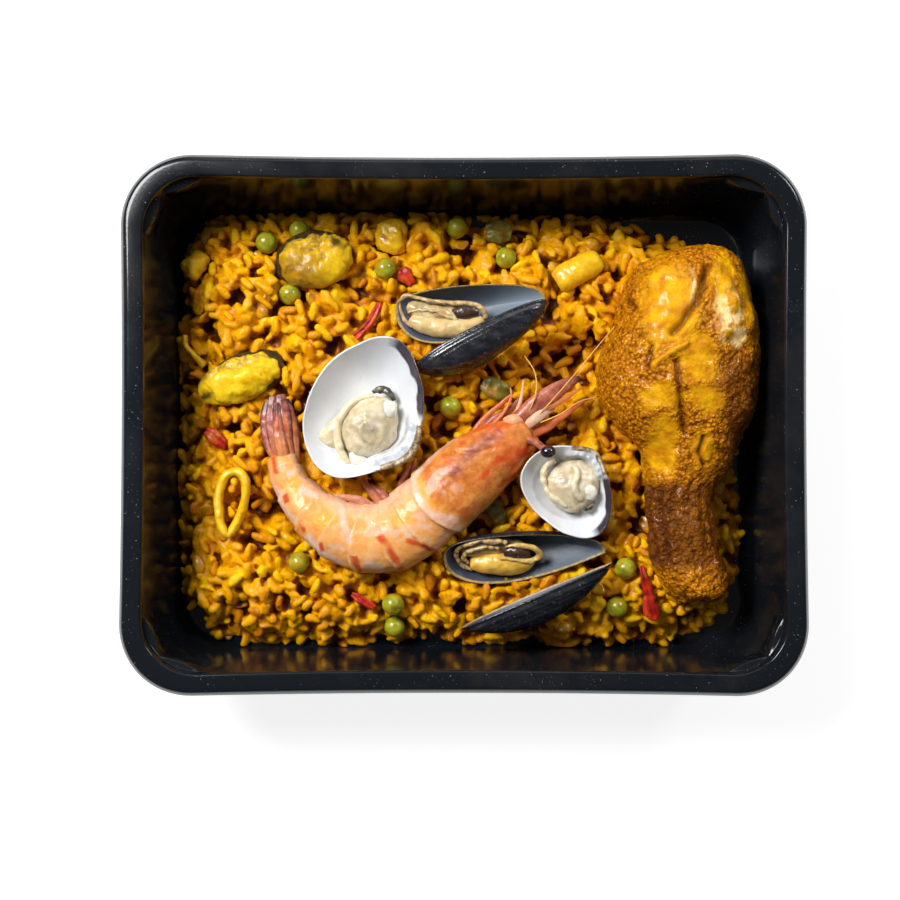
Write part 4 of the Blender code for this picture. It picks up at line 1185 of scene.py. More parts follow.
def valve(outline, centre, deep, thick, bowl, rings, ledge=None, relief=None):
    """A shell's skin as one grid: out over the inner face, round the rim and back under the outer face.

    Returns the grid and, for each of its points, the share of the way to the rim and whether it is outside.
    """
    share = np.sin(np.pi / 2 * np.arange(1, rings + 1) / rings)[:, None]
    lift = ledge(share) if ledge else 0.0
    z = -deep * (1 - share**bowl) * (1 - lift)
    x = centre[0] + (outline[:, 0] - centre[0]) * share
    y = centre[1] + (outline[:, 1] - centre[1]) * share
    inner = np.stack([x, y, z + 0 * x], axis=-1)
    below = normals_of(inner)
    if below[..., 2].mean() > 0:
        below = -below
    body = thick * (0.4 + 0.6 * smooth((1 - share) / 0.12))
    body = body + (relief(share) if relief else 0.0)
    outer = (inner + below * body[..., None])[::-1]
    out = unit(inner[-1] - inner[-2])
    rim = (inner[-1] + outer[0]) / 2 + out * thick * 0.3
    grid = np.concatenate([inner, rim[None], outer])
    ones = np.ones(len(outline))
    shares = np.concatenate([share * ones, ones[None], share[::-1] * ones])
    outside = np.concatenate([np.zeros((rings, 1)), np.full((1, 1), 0.5), np.ones((rings, 1))]) * ones
    return grid, shares, outside


CLAM_SHELL = 1.3
# Local +X points to the hinge. The reaches run from the middle to the rim, every 36 degrees from the hinge.
# stained is 1 where the dark edge lies on local +Y and -1 where it lies on -Y.
CLAMS = {
    "clam_large": {
        "at": (-34.6, 6.3, 32.5),
        "turn": (-45, 4, 3),
        "reaches": (23.6, 20.8, 21.8, 25.6, 20.6, 18.2, 18.4, 22.0, 25.3, 22.0),
        "deep": 12.0,
        "stained": 1,
    },
    "clam_small": {
        "at": (35.4, -21.8, 33.0),
        "turn": (53, 3, 4),
        "reaches": (15.8, 14.6, 15.8, 16.2, 13.6, 12.4, 14.6, 18.3, 15.4, 13.8),
        "deep": 8.6,
        "stained": -1,
    },
}
CLAM_GRID = (46, 150)


def clam_look(settings):
    look = Look("clam_shell", 0.22, Coat_Weight=0.5, Coat_Roughness=0.07, IOR=1.5)
    outside, stain, hinge = look.values("outside", "stain", "hinge")
    white = look.mottled((18, 1), (0.3, (0.66, 0.68, 0.71)), (0.7, settings.shell_colour))
    blue = look.mix(
        look.range(look.noise(9, 2, distortion=0.5), 0.5, 0.75, 0.0, 0.12), white, (0.42, 0.46, 0.52)
    )
    inner = look.mix(
        look.times(hinge, 0.8), blue,
        look.mottled((4.5, 3), (0.35, (0.36, 0.4, 0.45)), (0.6, (0.74, 0.75, 0.75)))
    )
    inner = look.mix(look.range(stain, 0.25, 0.8), inner, settings.stain_colour)
    rings = look.value("growth")
    mottled = look.mottled(
        (2.2, 4, 0.7), (0.35, (0.05, 0.03, 0.02)), (0.5, (0.42, 0.3, 0.14)), (0.62, (0.72, 0.66, 0.52))
    )
    outer = look.mix(look.range(rings, 0.35, 0.8, 0.0, 0.55), mottled, (0.16, 0.1, 0.07))
    look.paint(look.mix(look.range(outside, 0.3, 0.6), inner, outer))
    look.dull(6, 2, 0.16, 0.3)
    look.bumpy(3, 2, 0.05)
    return look.translucent(0.12, (1.0, 1.0, 1.0))


def make_clam_shell(name, clam, look):
    rings, around = CLAM_GRID
    turn = ring_turns(around)
    reach = spline([(r,) for r in clam["reaches"]], turn / (2 * np.pi), closed=True)[:, 0]
    size = clam["reaches"][0] / CLAMS["clam_large"]["reaches"][0]
    reach = reach * (1 + 0.003 * np.sin(7 * turn) + 0.0015 * np.sin(17 * turn + 1))
    outline = np.stack([reach * np.cos(turn), reach * np.sin(turn)], axis=1)
    to_hinge = smooth((np.cos(turn) - 0.72) / 0.2)

    def ledge(share):
        edge = smooth((share - 0.68) / 0.14)
        teeth = 0.1 * np.sin(34 * turn) * bell(share, 0.86, 0.12)
        return to_hinge * (edge + teeth)

    def growth(share):
        return 0.16 * np.sin(58 * share**1.6) + 0.1 * np.sin(140 * share**1.6)

    grid, shares, outside = valve(outline, (0, 0), clam["deep"], CLAM_SHELL, 2.3, rings, ledge, growth)
    beak_off = grid - np.array([21.6, 0, -3.6]) * size
    near = np.linalg.norm(beak_off / (np.array([4.6, 8.5, 5.5]) * size), axis=-1)
    swell = smooth(1 - near) * (outside > 0.4)
    grid = grid + np.array([2.6, 0, -0.6]) * size * swell[..., None]
    side = smooth((np.sin(clam["stained"] * turn) - 0.1) / 0.4) * smooth((np.cos(turn) + 0.55) / 0.4)
    stain = side * smooth((shares - 0.865 + 0.07 * noise(grid, 4, 2, 2)) / 0.08)
    hinge = to_hinge * smooth((shares - 0.66) / 0.1)
    at_rim = smooth((shares + 0.03 * noise(grid, 2.5, 12, 2) - 0.91) / 0.03)
    beak = smooth((np.cos(turn) - 0.8) / 0.1) * at_rim
    outside = np.maximum(outside, beak * 0.9)
    rings_seen = 0.5 + 0.5 * np.sin(58 * shares**1.6)
    shape = Shape()
    where = turned(clam["at"], *clam["turn"])
    stain = stain * (1 - hinge)
    add_skin(shape, grid, where, outside=outside, stain=stain, hinge=hinge, growth=rings_seen)
    return shown(shape.piece(name + "_valve", look), "clam_shell", name + "_shell")


def clam_meat_look(settings):
    look = Look("clam_meat", 0.3, Coat_Weight=0.25, Coat_Roughness=0.07, IOR=1.4)
    pale, dark, yellow = look.values("pale", "dark", "yellow")
    base = look.ramp(
        look.noise(3.6, 3, distortion=0.8), (0.3, (0.42, 0.35, 0.24)), (0.5, settings.meat_colour),
        (0.75, (0.78, 0.71, 0.56))
    )
    base = look.mix(pale, base, (0.8, 0.78, 0.71))
    base = look.mix(yellow, base, look.mottled((1.5, 2), (0.3, (0.64, 0.5, 0.26)), (0.7, (0.84, 0.74, 0.5))))
    look.paint(look.mix(dark, base, (0.035, 0.033, 0.03)))
    look.bumpy(1.4, 3, 0.16)
    return look.translucent(0.5, (1.6, 1.0, 0.6))


# Meat of each clam, in the tray's frame, as keys of (x, y, z, half width, half height). The swirl on the
# belly is (x, y, reach).
CLAM_MEATS = {
    "clam_large": {
        "foot": ((-37, -0.5, 25, 7.2, 2.6), (-43, -2.4, 24.6, 5.6, 2), (-48, -4.2, 25.4, 3, 1.3),
                 (-52, -5.6, 26.6, 0.8, 0.6)),
        "belly": ((-36, -10.5, 25.6, 3.4, 3.2), (-34.4, -5, 26.2, 8.2, 5.4), (-31.4, 0.6, 26.4, 9.2, 6.4),
                  (-28.4, 6.2, 26, 6.8, 5.2), (-27, 10, 25.4, 3, 3)),
        "rim": ((-30.4, 10.6, 26.6, 1.2, 1.5), (-36.6, 9, 27, 1.3, 1.8), (-41.4, 4.2, 26.8, 1.4, 2),
                (-43.2, -1.6, 26.6, 1.4, 2), (-42.6, -7.4, 26.4, 1.4, 1.9), (-39.6, -12.4, 26.2, 1.4, 1.7),
                (-34.6, -14.6, 25.8, 1.2, 1.4), (-30.6, -13.2, 25.8, 0.8, 1)),
        "pale": (((-26.2, 3, 29.4, 2.2, 1.6), (-25.6, 5.6, 29.6, 2.9, 2.1), (-25, 8.4, 28.6, 2.2, 1.6)),
                 ((-38.4, -8.6, 27.6, 1.4, 0.9), (-36, -11.6, 27.8, 2.5, 1.3), (-32.4, -13.4, 27, 1.6, 1))),
        "siphon": ((-31.6, 11.4, 26.4, 0.7, 0.7), (-29.6, 12.6, 27, 1.1, 0.9), (-27, 12.4, 27.4, 1.3, 0.9),
                   (-24.8, 10.6, 27.6, 1.1, 0.8), (-23.6, 8.4, 27.4, 0.6, 0.6)),
        "swirl": (-31.6, -0.8, 7.4),
    },
    "clam_small": {
        "foot": ((33, -21, 28.8, 3.2, 2.2), (34.4, -25, 28.8, 3.4, 2), (37.4, -27.6, 28.8, 2.2, 1.4),
                 (40, -28.8, 28.8, 0.8, 0.7)),
        "belly": ((36, -11.8, 28.8, 3.6, 2.4), (36.6, -15.2, 29.2, 8, 3.8), (37.4, -20, 29.4, 9.4, 4.6),
                  (38.2, -25, 29.2, 7.2, 3.8), (39.2, -28.6, 28.6, 3.2, 2.2)),
        "rim": ((31.6, -11.8, 30.8, 0.7, 0.8), (28.4, -13.6, 31, 0.9, 1.2), (27.2, -17.6, 31, 1, 1.5),
                (28.2, -21.4, 31.2, 1, 1.6), (30.8, -24.6, 31.4, 1.1, 1.5), (35.6, -27.8, 31.2, 0.9, 1.1)),
        "pale": (
            ((37.4, -12.8, 32.6, 0.9, 0.9), (38.7, -16.4, 33.8, 1.2, 1.2), (37.4, -20.4, 34, 1.3, 1.3),
             (38.6, -23.6, 33.2, 1.3, 1.2), (40.8, -25.6, 32, 0.9, 0.9)),
            ((41.8, -20.4, 32.8, 1.6, 1.2), (43.4, -22.6, 32.4, 2.2, 1.5), (43.2, -25.4, 31.6, 1.5, 1.1)),
        ),
        "siphon": ((40.4, -27.4, 30.6, 0.6, 0.6), (42.2, -28.2, 30.4, 0.9, 0.8), (44, -27.2, 30.2, 0.8, 0.7),
                   (45, -25.4, 30, 0.4, 0.5)),
        "swirl": (33.4, -18.6, 4.2),
    },
}


def make_clam_meat(name, look):
    meat = CLAM_MEATS[name]
    shape = Shape()
    belly = swept(meat["belly"], 60, 72, 0.12)
    x, y, reach = meat["swirl"]
    away = np.hypot(belly[..., 0] - x, belly[..., 1] - y) / reach
    coil = np.arctan2(belly[..., 1] - y, belly[..., 0] - x)
    wave = np.sin(3.4 * away * np.pi - coil + 2.2 * noise(belly, 5, 44))
    swirl = smooth(1.15 - away) * wave * (0.05 * reach)
    belly = lifted(belly, 0.7 * noise(belly, 5, 3, 2) + 0.25 * noise(belly, 1.6, 6, 2) + swirl)
    grey = smooth(1.1 - away) * smooth(0.5 + noise(belly, 4, 9, 2))
    add_skin(shape, belly, dark=0.35 * grey, pale=0.3 * smooth(noise(belly, 5, 15) * 2), yellow=0.15)
    foot = swept(meat["foot"], 40, 48, 0.1)
    foot = lifted(foot, 0.3 * noise(foot, 3, 5, 2))
    add_skin(shape, foot, dark=0.0, pale=0.0, yellow=0.25)
    rim = swept(meat["rim"], 110, 24, 0.04)
    along, turn = shares_of(rim)
    frill = 0.16 * np.sin(30 * along + 5 * noise(rim, 5, 3)) * smooth(np.sin(turn) + 0.4)
    add_skin(shape, lifted(rim, frill + 0.3 * noise(rim, 3.0, 8)), dark=0.0, pale=0.25, yellow=0.6)
    for keys in meat["pale"]:
        lobe = swept(keys, 36, 36, 0.16)
        ridge = 0.9 if name == "clam_small" and keys is meat["pale"][0] else 0.1
        lobe = lifted(lobe, 0.3 * noise(lobe, 2.4, 4, 2))
        add_skin(shape, lobe, dark=0.0, pale=0.85 - 0.6 * ridge, yellow=ridge * 0.7)
    tube = swept(meat["siphon"], 24, 24, 0.15)
    dark = 0.8 + 0.2 * smooth(noise(tube, 1.5, 6, 2) * 2 + 0.4)
    add_skin(shape, lifted(tube, 0.35 * noise(tube, 1.6, 4)), dark=dark, pale=0.0, yellow=0.0)
    return shown(shape.piece(name + "_flesh", look), "clam_meat", name + "_meat")


def make_clams(settings):
    shell_look, meat_look = clam_look(settings), clam_meat_look(settings)
    for name, clam in CLAMS.items():
        make_clam_shell(name, clam, shell_look)
        make_clam_meat(name, meat_look)


MUSSEL_SHELL = 1.0
# at is the hinge end and local +X runs to the round end. side is 1 where the bulging edge is on local +Y.
# dark is how dark the inside is at the hinge; it grows to 1 at the round end.
MUSSELS = {
    "mussel_upper_valve_a": {
        "at": (28.0, 43.9, 26.0), "turn": (-176.5, -3, -6), "side": 1, "long": 51.5, "edges": (12.4, 6.4),
        "deep": 8.0, "dark": 0.0
    },
    "mussel_upper_valve_b": {
        "at": (28.8, 42.2, 31.2), "turn": (-153.5, -2, 120), "side": -1, "long": 49.8, "edges": (10.2, 6.4),
        "deep": 7.0, "bowl": 2.8, "dark": 0.75
    },
    "mussel_lower_valve_a": {
        "at": (48.8, -43.4, 25.5), "turn": (-178.0, -3, -31), "side": 1, "long": 55.5, "edges": (11.4, 8.0),
        "deep": 8.5, "bowl": 2.8, "dark": 0.35
    },
    "mussel_lower_valve_b": {
        "at": (50.4, -46.6, 30.5), "turn": (-156.2, -3, 90), "side": -1, "long": 55.5, "edges": (10.6, 6.6),
        "deep": 9.0, "dark": 0.85
    },
}
MUSSEL_GRID = (28, 150)


def mussel_outline(mussel, around):
    """Pointed at the hinge. The bulging edge is widest past the middle and the other is nearly straight."""
    bulging, straight = mussel["edges"]

    def swell(t, near, far):
        top = near / (near + far)
        return (t / top) ** near * ((1 - t) / (1 - top)) ** far

    turn = ring_turns(around)
    t = (1 - np.cos(turn)) / 2
    across = np.where(turn < np.pi, bulging * swell(t, 1.0, 0.42), -straight * swell(t, 0.36, 0.36))
    return np.stack([mussel["long"] * t, across * mussel["side"]], axis=1)


def mussel_look(settings):
    look = Look("mussel_shell", 0.2, IOR=1.62)
    outside, rim, far = look.values("outside", "rim", "far")
    nacre = look.ramp(look.plus(far, look.times(look.noise(7, 2), 0.3)),
                      (0.2, (0.19, 0.235, 0.28)), (0.55, settings.nacre_colour), (0.95, (0.035, 0.05, 0.08)))
    edge = look.mottled((1.2, 3), (0.3, (0.2, 0.13, 0.05)), (0.7, settings.rim_colour))
    inner = look.mix(look.range(rim, 0.5, 0.8), nacre, edge)
    black = look.ramp(
        look.noise(6, 3, stretch=(1, 3, 1)), (0.35, (0.006, 0.007, 0.01)), (0.62, (0.02, 0.022, 0.03)),
        (0.8, (0.06, 0.04, 0.022))
    )
    worn = look.range(look.noise(1.6, 3, 0.7), 0.62, 0.72)
    outer = look.mix(look.times(worn, 0.4), black, (0.3, 0.27, 0.2))
    look.paint(look.mix(look.range(outside, 0.3, 0.6), inner, outer))
    gloss = look.range(look.noise(1.3, 4, 0.7), 0.42, 0.62, 0.1, 0.3)
    look.set("Roughness", look.mix(look.range(outside, 0.3, 0.6), 0.5, gloss))
    look.bumpy(0.9, 3, 0.1)
    return look.material


def make_mussel_valve(name, mussel, look):
    rings, around = MUSSEL_GRID
    outline = mussel_outline(mussel, around)
    centre = (0.52 * mussel["long"], 0.12 * mussel["side"] * mussel["edges"][0])

    def growth(share):
        return 0.09 * np.sin(46 * share**1.4) + 0.05 * np.sin(110 * share)

    bowl = mussel.get("bowl", 2.0)
    grid, shares, outside = valve(outline, centre, mussel["deep"], MUSSEL_SHELL, bowl, rings, relief=growth)
    rim = smooth((shares - 0.955) / 0.03) * (outside < 0.7)
    far = grid[..., 0] / mussel["long"]
    far = mussel["dark"] + (1 - mussel["dark"]) * far
    shape = Shape()
    add_skin(shape, grid, turned(mussel["at"], *mussel["turn"]), outside=outside, rim=rim, far=far)
    return shown(shape.piece(name + "_shell", look), "mussel_shell", name)


# Meat in valve a, in that valve's frame, as keys of (x, y, z, half width, half height). The mantle's frilled
# edges leave a slit between them that opens into a hole, where a body painted near black stands in as
# painted shade. Each frill starts with how brown it is.
MUSSEL_MEATS = {
    "mussel_upper": {
        "belly": (
            (47.6, 3, -2.6, 1.4, 1.5), (43.6, 5.4, -2, 2.9, 2.6), (36.8, 7.4, -1.5, 3.5, 3.1),
            (29.6, 7.7, -1.4, 3.2, 3), (24.2, 6.6, -1.5, 2.3, 2.3), (21.2, 5, -1.8, 1.2, 1.3),
        ),
        "back": (
            (48.4, -1.6, -3.4, 1.8, 1.5), (43.2, 0.8, -3.2, 3.4, 2.4), (36.4, 2.4, -3, 3.4, 2.6),
            (29, 3.2, -2.8, 3, 2.4), (22.6, 4.2, -2.8, 1.6, 1.6),
        ),
        "frills": (
            (
                0.25, (46, 7, -1, 0.5, 0.6), (49, 3.4, -1.4, 0.7, 0.8), (50.2, -1.4, -1.2, 0.7, 0.9),
                (48.2, -4.6, -0.8, 0.7, 0.9), (43, -3.4, -0.6, 0.7, 0.9), (37.2, -1.7, -0.2, 0.7, 1),
                (30, -0.8, 0, 0.8, 1), (24.4, 0, 0, 0.8, 1), (21, 2.6, -0.4, 0.9, 1),
                (20.8, 5.6, -1, 0.7, 0.8),
            ),
            (0.35, (47.8, 1.6, -1.4, 0.4, 0.6), (43.4, 0.6, -1, 0.6, 0.8), (38.6, 1.4, -0.6, 0.6, 0.9),
             (34, 3.6, -0.1, 0.6, 0.8), (30, 4.9, 0.3, 0.5, 0.7)),
            (0.2, (34.2, 0.9, 0.1, 0.3, 0.5), (32, 2.6, 0.4, 0.4, 0.5), (31, 4.4, 0.3, 0.3, 0.5)),
        ),
        "hole_shade": (27.2, 2.5, -0.7),
        "orange": 0.1,
    },
    "mussel_lower": {
        "belly": (
            (47.2, 4.6, -3, 1.5, 1.6), (43.6, 4.3, -2.6, 3.5, 3.2), (38, 4.4, -2.1, 4.4, 3.9),
            (32, 4.8, -2, 4.2, 3.7), (27.2, 4.4, -2.2, 2.8, 2.6), (24.4, 3, -2.5, 1.3, 1.4),
        ),
        "back": (
            (50, 0.6, -4.2, 1.8, 1.7), (45, -1.2, -3.8, 3.2, 2.8), (38.6, -2.2, -3.6, 3.4, 2.9),
            (32, -1.6, -3.4, 3, 2.4), (25.6, 0.2, -3.2, 1.6, 1.6),
        ),
        "frills": (
            (
                0.9, (46, 7.4, -2.2, 0.6, 0.8), (49.8, 4.4, -2, 0.8, 0.9), (51.4, 0.2, -1.6, 0.9, 1),
                (49.8, -3, -1.2, 0.9, 1.1), (44.6, -5.4, -0.8, 0.9, 1.1), (38.6, -5.9, -0.6, 0.9, 1.1),
                (33.2, -5, -0.6, 0.7, 0.9),
            ),
            (0.7, (47.4, 4, -1.6, 0.6, 0.8), (48.8, 0.8, -1.2, 0.8, 0.9), (46, -2.2, -0.8, 0.8, 0.9),
             (41, -3.4, -0.5, 0.8, 0.9), (36, -2.6, -0.5, 0.6, 0.8)),
            (
                0, (34.6, -3.2, -0.6, 0.4, 0.5), (29.4, -3.9, -0.1, 0.8, 0.8), (24.6, -2.7, -0.1, 1, 1),
                (22.3, 0, -0.5, 1.2, 1.1), (23.6, 2.3, -0.7, 1.2, 1.1), (27.4, 2.3, 0.1, 0.9, 0.9),
                (32, 1.2, 0.6, 0.8, 0.8), (36.4, 0.4, 0.6, 0.5, 0.6),
            ),
        ),
        "hole_shade": (30, -0.9, -0.9),
        "orange": 0.9,
    },
}


# The keys of the body painted near black in the hole, as painted shade, from its middle
HOLE_SHADE_KEYS = ((-4.6, 0.6, 0, 1.2, 1), (-1.5, 0.2, 0.6, 2, 1.4), (2, 0, 0.6, 2.1, 1.4), (5, 0.2, 0, 1.2, 1))


def mussel_meat_look(settings):
    look = Look("mussel_meat", 0.26, Coat_Weight=0.35, Coat_Roughness=0.06, IOR=1.4)
    dark, frill, orange = look.values("dark", "frill", "orange")
    cream = look.ramp(
        look.noise(4, 3, distortion=0.5), (0.3, (0.56, 0.4, 0.19)), (0.55, settings.meat_colour),
        (0.8, (0.82, 0.73, 0.53))
    )
    golden = look.mottled((4, 3), (0.3, (0.58, 0.3, 0.02)), (0.7, (0.86, 0.56, 0.07)))
    base = look.mix(orange, cream, golden)
    base = look.mix(look.times(frill, look.range(look.noise(1.3, 2), 0.4, 0.6)), base, (0.24, 0.12, 0.035))
    # near black where dark is set: painted shade on the body in the hole, and dark brown on the back and frills
    look.paint(look.mix(dark, base, (0.04, 0.015, 0.012)))
    look.bumpy(1.5, 3, 0.22)
    return look.translucent(0.4, (1.4, 0.8, 0.3))


def make_mussel_meat(name, look):
    meat = MUSSEL_MEATS[name]
    mussel = MUSSELS[name + "_valve_a"]
    where = turned(mussel["at"], *mussel["turn"])
    shape = Shape()
    lower = name == "mussel_lower"
    for part, seed in (("belly", 3), ("back", 8)):
        body = swept(meat[part], 80, 56, 0.12)
        body = lifted(body, 0.5 * noise(body, 5, seed, 2) + 0.2 * noise(body, 1.8, seed + 3, 2))
        if part == "belly":
            add_skin(shape, body, where, dark=0.0, frill=0.0, orange=meat["orange"])
        else:
            brown = (0.77 if lower else 0.385) * smooth(noise(body, 4, 20, 2) + 0.3)
            add_skin(shape, body, where, dark=brown, frill=0.3, orange=0.3 * meat["orange"])
    for i, (brown, *keys) in enumerate(meat["frills"]):
        frill = swept(keys, 130, 18, 0.04)
        along, turn = shares_of(frill)
        wave = 1.5 * noise(frill, 1.7, 2 + i, 2)
        frill[..., 1] += 0.3 * wave * smooth(np.sin(turn) + 0.5)
        frill = lifted(frill, 0.2 * noise(frill, 2.4, 9 + i) + 0.14 * wave)
        ribs = smooth(np.sin(70 * along + 3 * noise(frill, 4, 7 + i)) + 0.2) if lower and brown else 0.5
        dark = 0.75 * brown * ribs * smooth(0.8 - 0.7 * wave)
        orange = 0.5 if lower and not brown else 0.1
        add_skin(shape, frill, where, dark=dark, frill=0.3 + 0.4 * brown, orange=orange)
    # The body in the hole is painted near black as painted shade, with paler torn flecks
    hole_shade = swept(HOLE_SHADE_KEYS + np.array([*meat["hole_shade"], 0, 0]), 40, 32, 0.12)
    torn = smooth(noise(hole_shade, 1.3, 6, 2) * 3 - 1.1)
    hole_shade = lifted(hole_shade, 0.35 * noise(hole_shade, 1.8, 4, 2))
    add_skin(shape, hole_shade, where, dark=0.97 - 0.55 * torn, frill=0.0, orange=0.0)
    return shown(shape.piece(name + "_flesh", look), "mussel_meat", name + "_meat")


def make_mussels(settings):
    shell_look, meat_look = mussel_look(settings), mussel_meat_look(settings)
    for name, mussel in MUSSELS.items():
        make_mussel_valve(name, mussel, shell_look)
    for name in MUSSEL_MEATS:
        make_mussel_meat(name, meat_look)


# ---- prawn

# (x, y, z, half width across back and belly, half thickness), from the tail fan's tip to the head's front
PRAWN = (
    (-65.3, 13.4, 21.5, 4, 1.5),
    (-64.3, 3.4, 21.5, 6.2, 2.6),
    (-63.3, -8.6, 22, 5.4, 4.4),
    (-59.3, -20.2, 23, 5.9, 5.4),
    (-49.5, -31.6, 24.5, 8.8, 7.4),
    (-36.5, -38.4, 25, 11, 8.8),
    (-22.3, -36.6, 25.5, 12.2, 9.4),
    (-9.9, -26.6, 26, 12.2, 9.6),
    (3.1, -15.2, 26.8, 12.2, 9.4),
    (15.1, -5.8, 27.8, 9, 7.4),
    (23.1, 0.2, 28.5, 4, 3.8),
)
PRAWN_GRID = (330, 120)
BODY_START = 0.2  # share of the way along where the tail fan ends
# Shares of the way along where the shell plates' rear edges lie over the next plates
PLATE_EDGES = (0.255, 0.315, 0.378, 0.44, 0.503, 0.575, 0.64)
HEAD_EDGE = 0.705
PLATE_LENGTH = 0.07
PLATE_LIFT, HEAD_LIFT = 0.75, 1.3
# Marks on the shell: routes seen from above, with their reach to each side
RED_MARKS = (
    (((-61.6, -23.4), (-60.4, -26.4)), 2.4), (((-56, -33.6), (-53.8, -36.2)), 1.6),
    (((-49, -39.6), (-47.8, -43.4)), 1.7), (((-37.4, -44), (-35.2, -50)), 2),
    (((-28.6, -37), (-25, -42), (-20.4, -50.2)), 2.6), (((-19.6, -38.9), (-14, -41), (-8.4, -42.6)), 1.9),
    (((2, -20), (12, -12), (20, -8)), 2.6), (((14, -15), (19, -10.4), (23.5, -6)), 2.4),
    (((-2, -6), (8, 0.4), (16, 4)), 1.6), (((-64.5, -16), (-66, -10)), 1.8),
)
# Pale marks, partly the shell's own pale streaks and partly painted highlight where the shell shines
PALE_AND_HIGHLIGHT_MARKS = (
    (((-66, -20), (-63, -27), (-57, -33.4)), 2), (((-54, -37), (-48, -43.5), (-40, -49.4)), 3.4),
    (((-42.8, -26), (-40.4, -33), (-37.8, -40.5)), 2.4), (((-56, -21), (-49, -24.5)), 2.8),
    (((-34, -47), (-27, -48.6)), 2.2), (((-12, -29.5), (-7, -31.4), (-1.4, -32.2)), 2.6),
    (((-20, -22), (-14, -13), (-2, -2)), 2), (((-33, -31), (-31, -36)), 1.3),
    (((-60.5, -16.4), (-57.8, -16)), 2),
)
HEAD_STREAK = (((-6.6, -19.6), (0.5, -11.9), (6.5, -5.6), (13.5, -1.7)), 4.0)
# A pale patch painted on the head as a painted sheen: middle seen from above and reach in x and y
HEAD_SHEEN_PATCH = (-4.4, -21.6, 6.5, 5.0)
YOLK_SPOTS = (
    (-13.0, -20.5, 6.0, 6.5), (-9.5, -25.5, 6.0, 4.0), (-20.0, -33.0, 7.0, 6.0), (-58.6, -20.0, 4.0, 6.0),
    (-48.0, -32.0, 7.0, 5.0)
)
TAIL_BLADES = (  # (x, y, z, half width, half thickness) from the joint to the tip
    ((-63.2, -13, 22.4, 2.2, 1.3), (-66.4, -5.5, 22, 3.3, 1.2), (-67.4, 2.5, 21.6, 3.5, 1),
     (-67, 9, 21.2, 2.4, 0.7)),
    ((-58.8, -12.6, 22.6, 2, 1.2), (-60.2, -5, 22.6, 3.2, 1.2), (-61.4, 2.5, 22.2, 3.4, 1),
     (-63, 9.6, 21.8, 2.2, 0.7)),
    ((-62.2, -13, 23.6, 1.8, 1.3), (-65.2, -5, 23.4, 2.4, 1), (-66.2, 3, 23, 2.6, 0.8),
     (-65.8, 11, 22.4, 1.6, 0.5)),
    ((-59.8, -13, 24, 1.8, 1.3), (-61.4, -5, 24, 2.3, 1), (-62.4, 3, 23.6, 2.6, 0.8),
     (-63.6, 11.6, 22.8, 1.6, 0.5)),
    ((-61.2, -14, 25, 2.2, 1.4), (-63.2, -6, 25.2, 2.3, 1.2), (-64.2, 1.5, 24.6, 1.7, 0.9),
     (-64.8, 8.6, 23.8, 0.8, 0.5)),
)
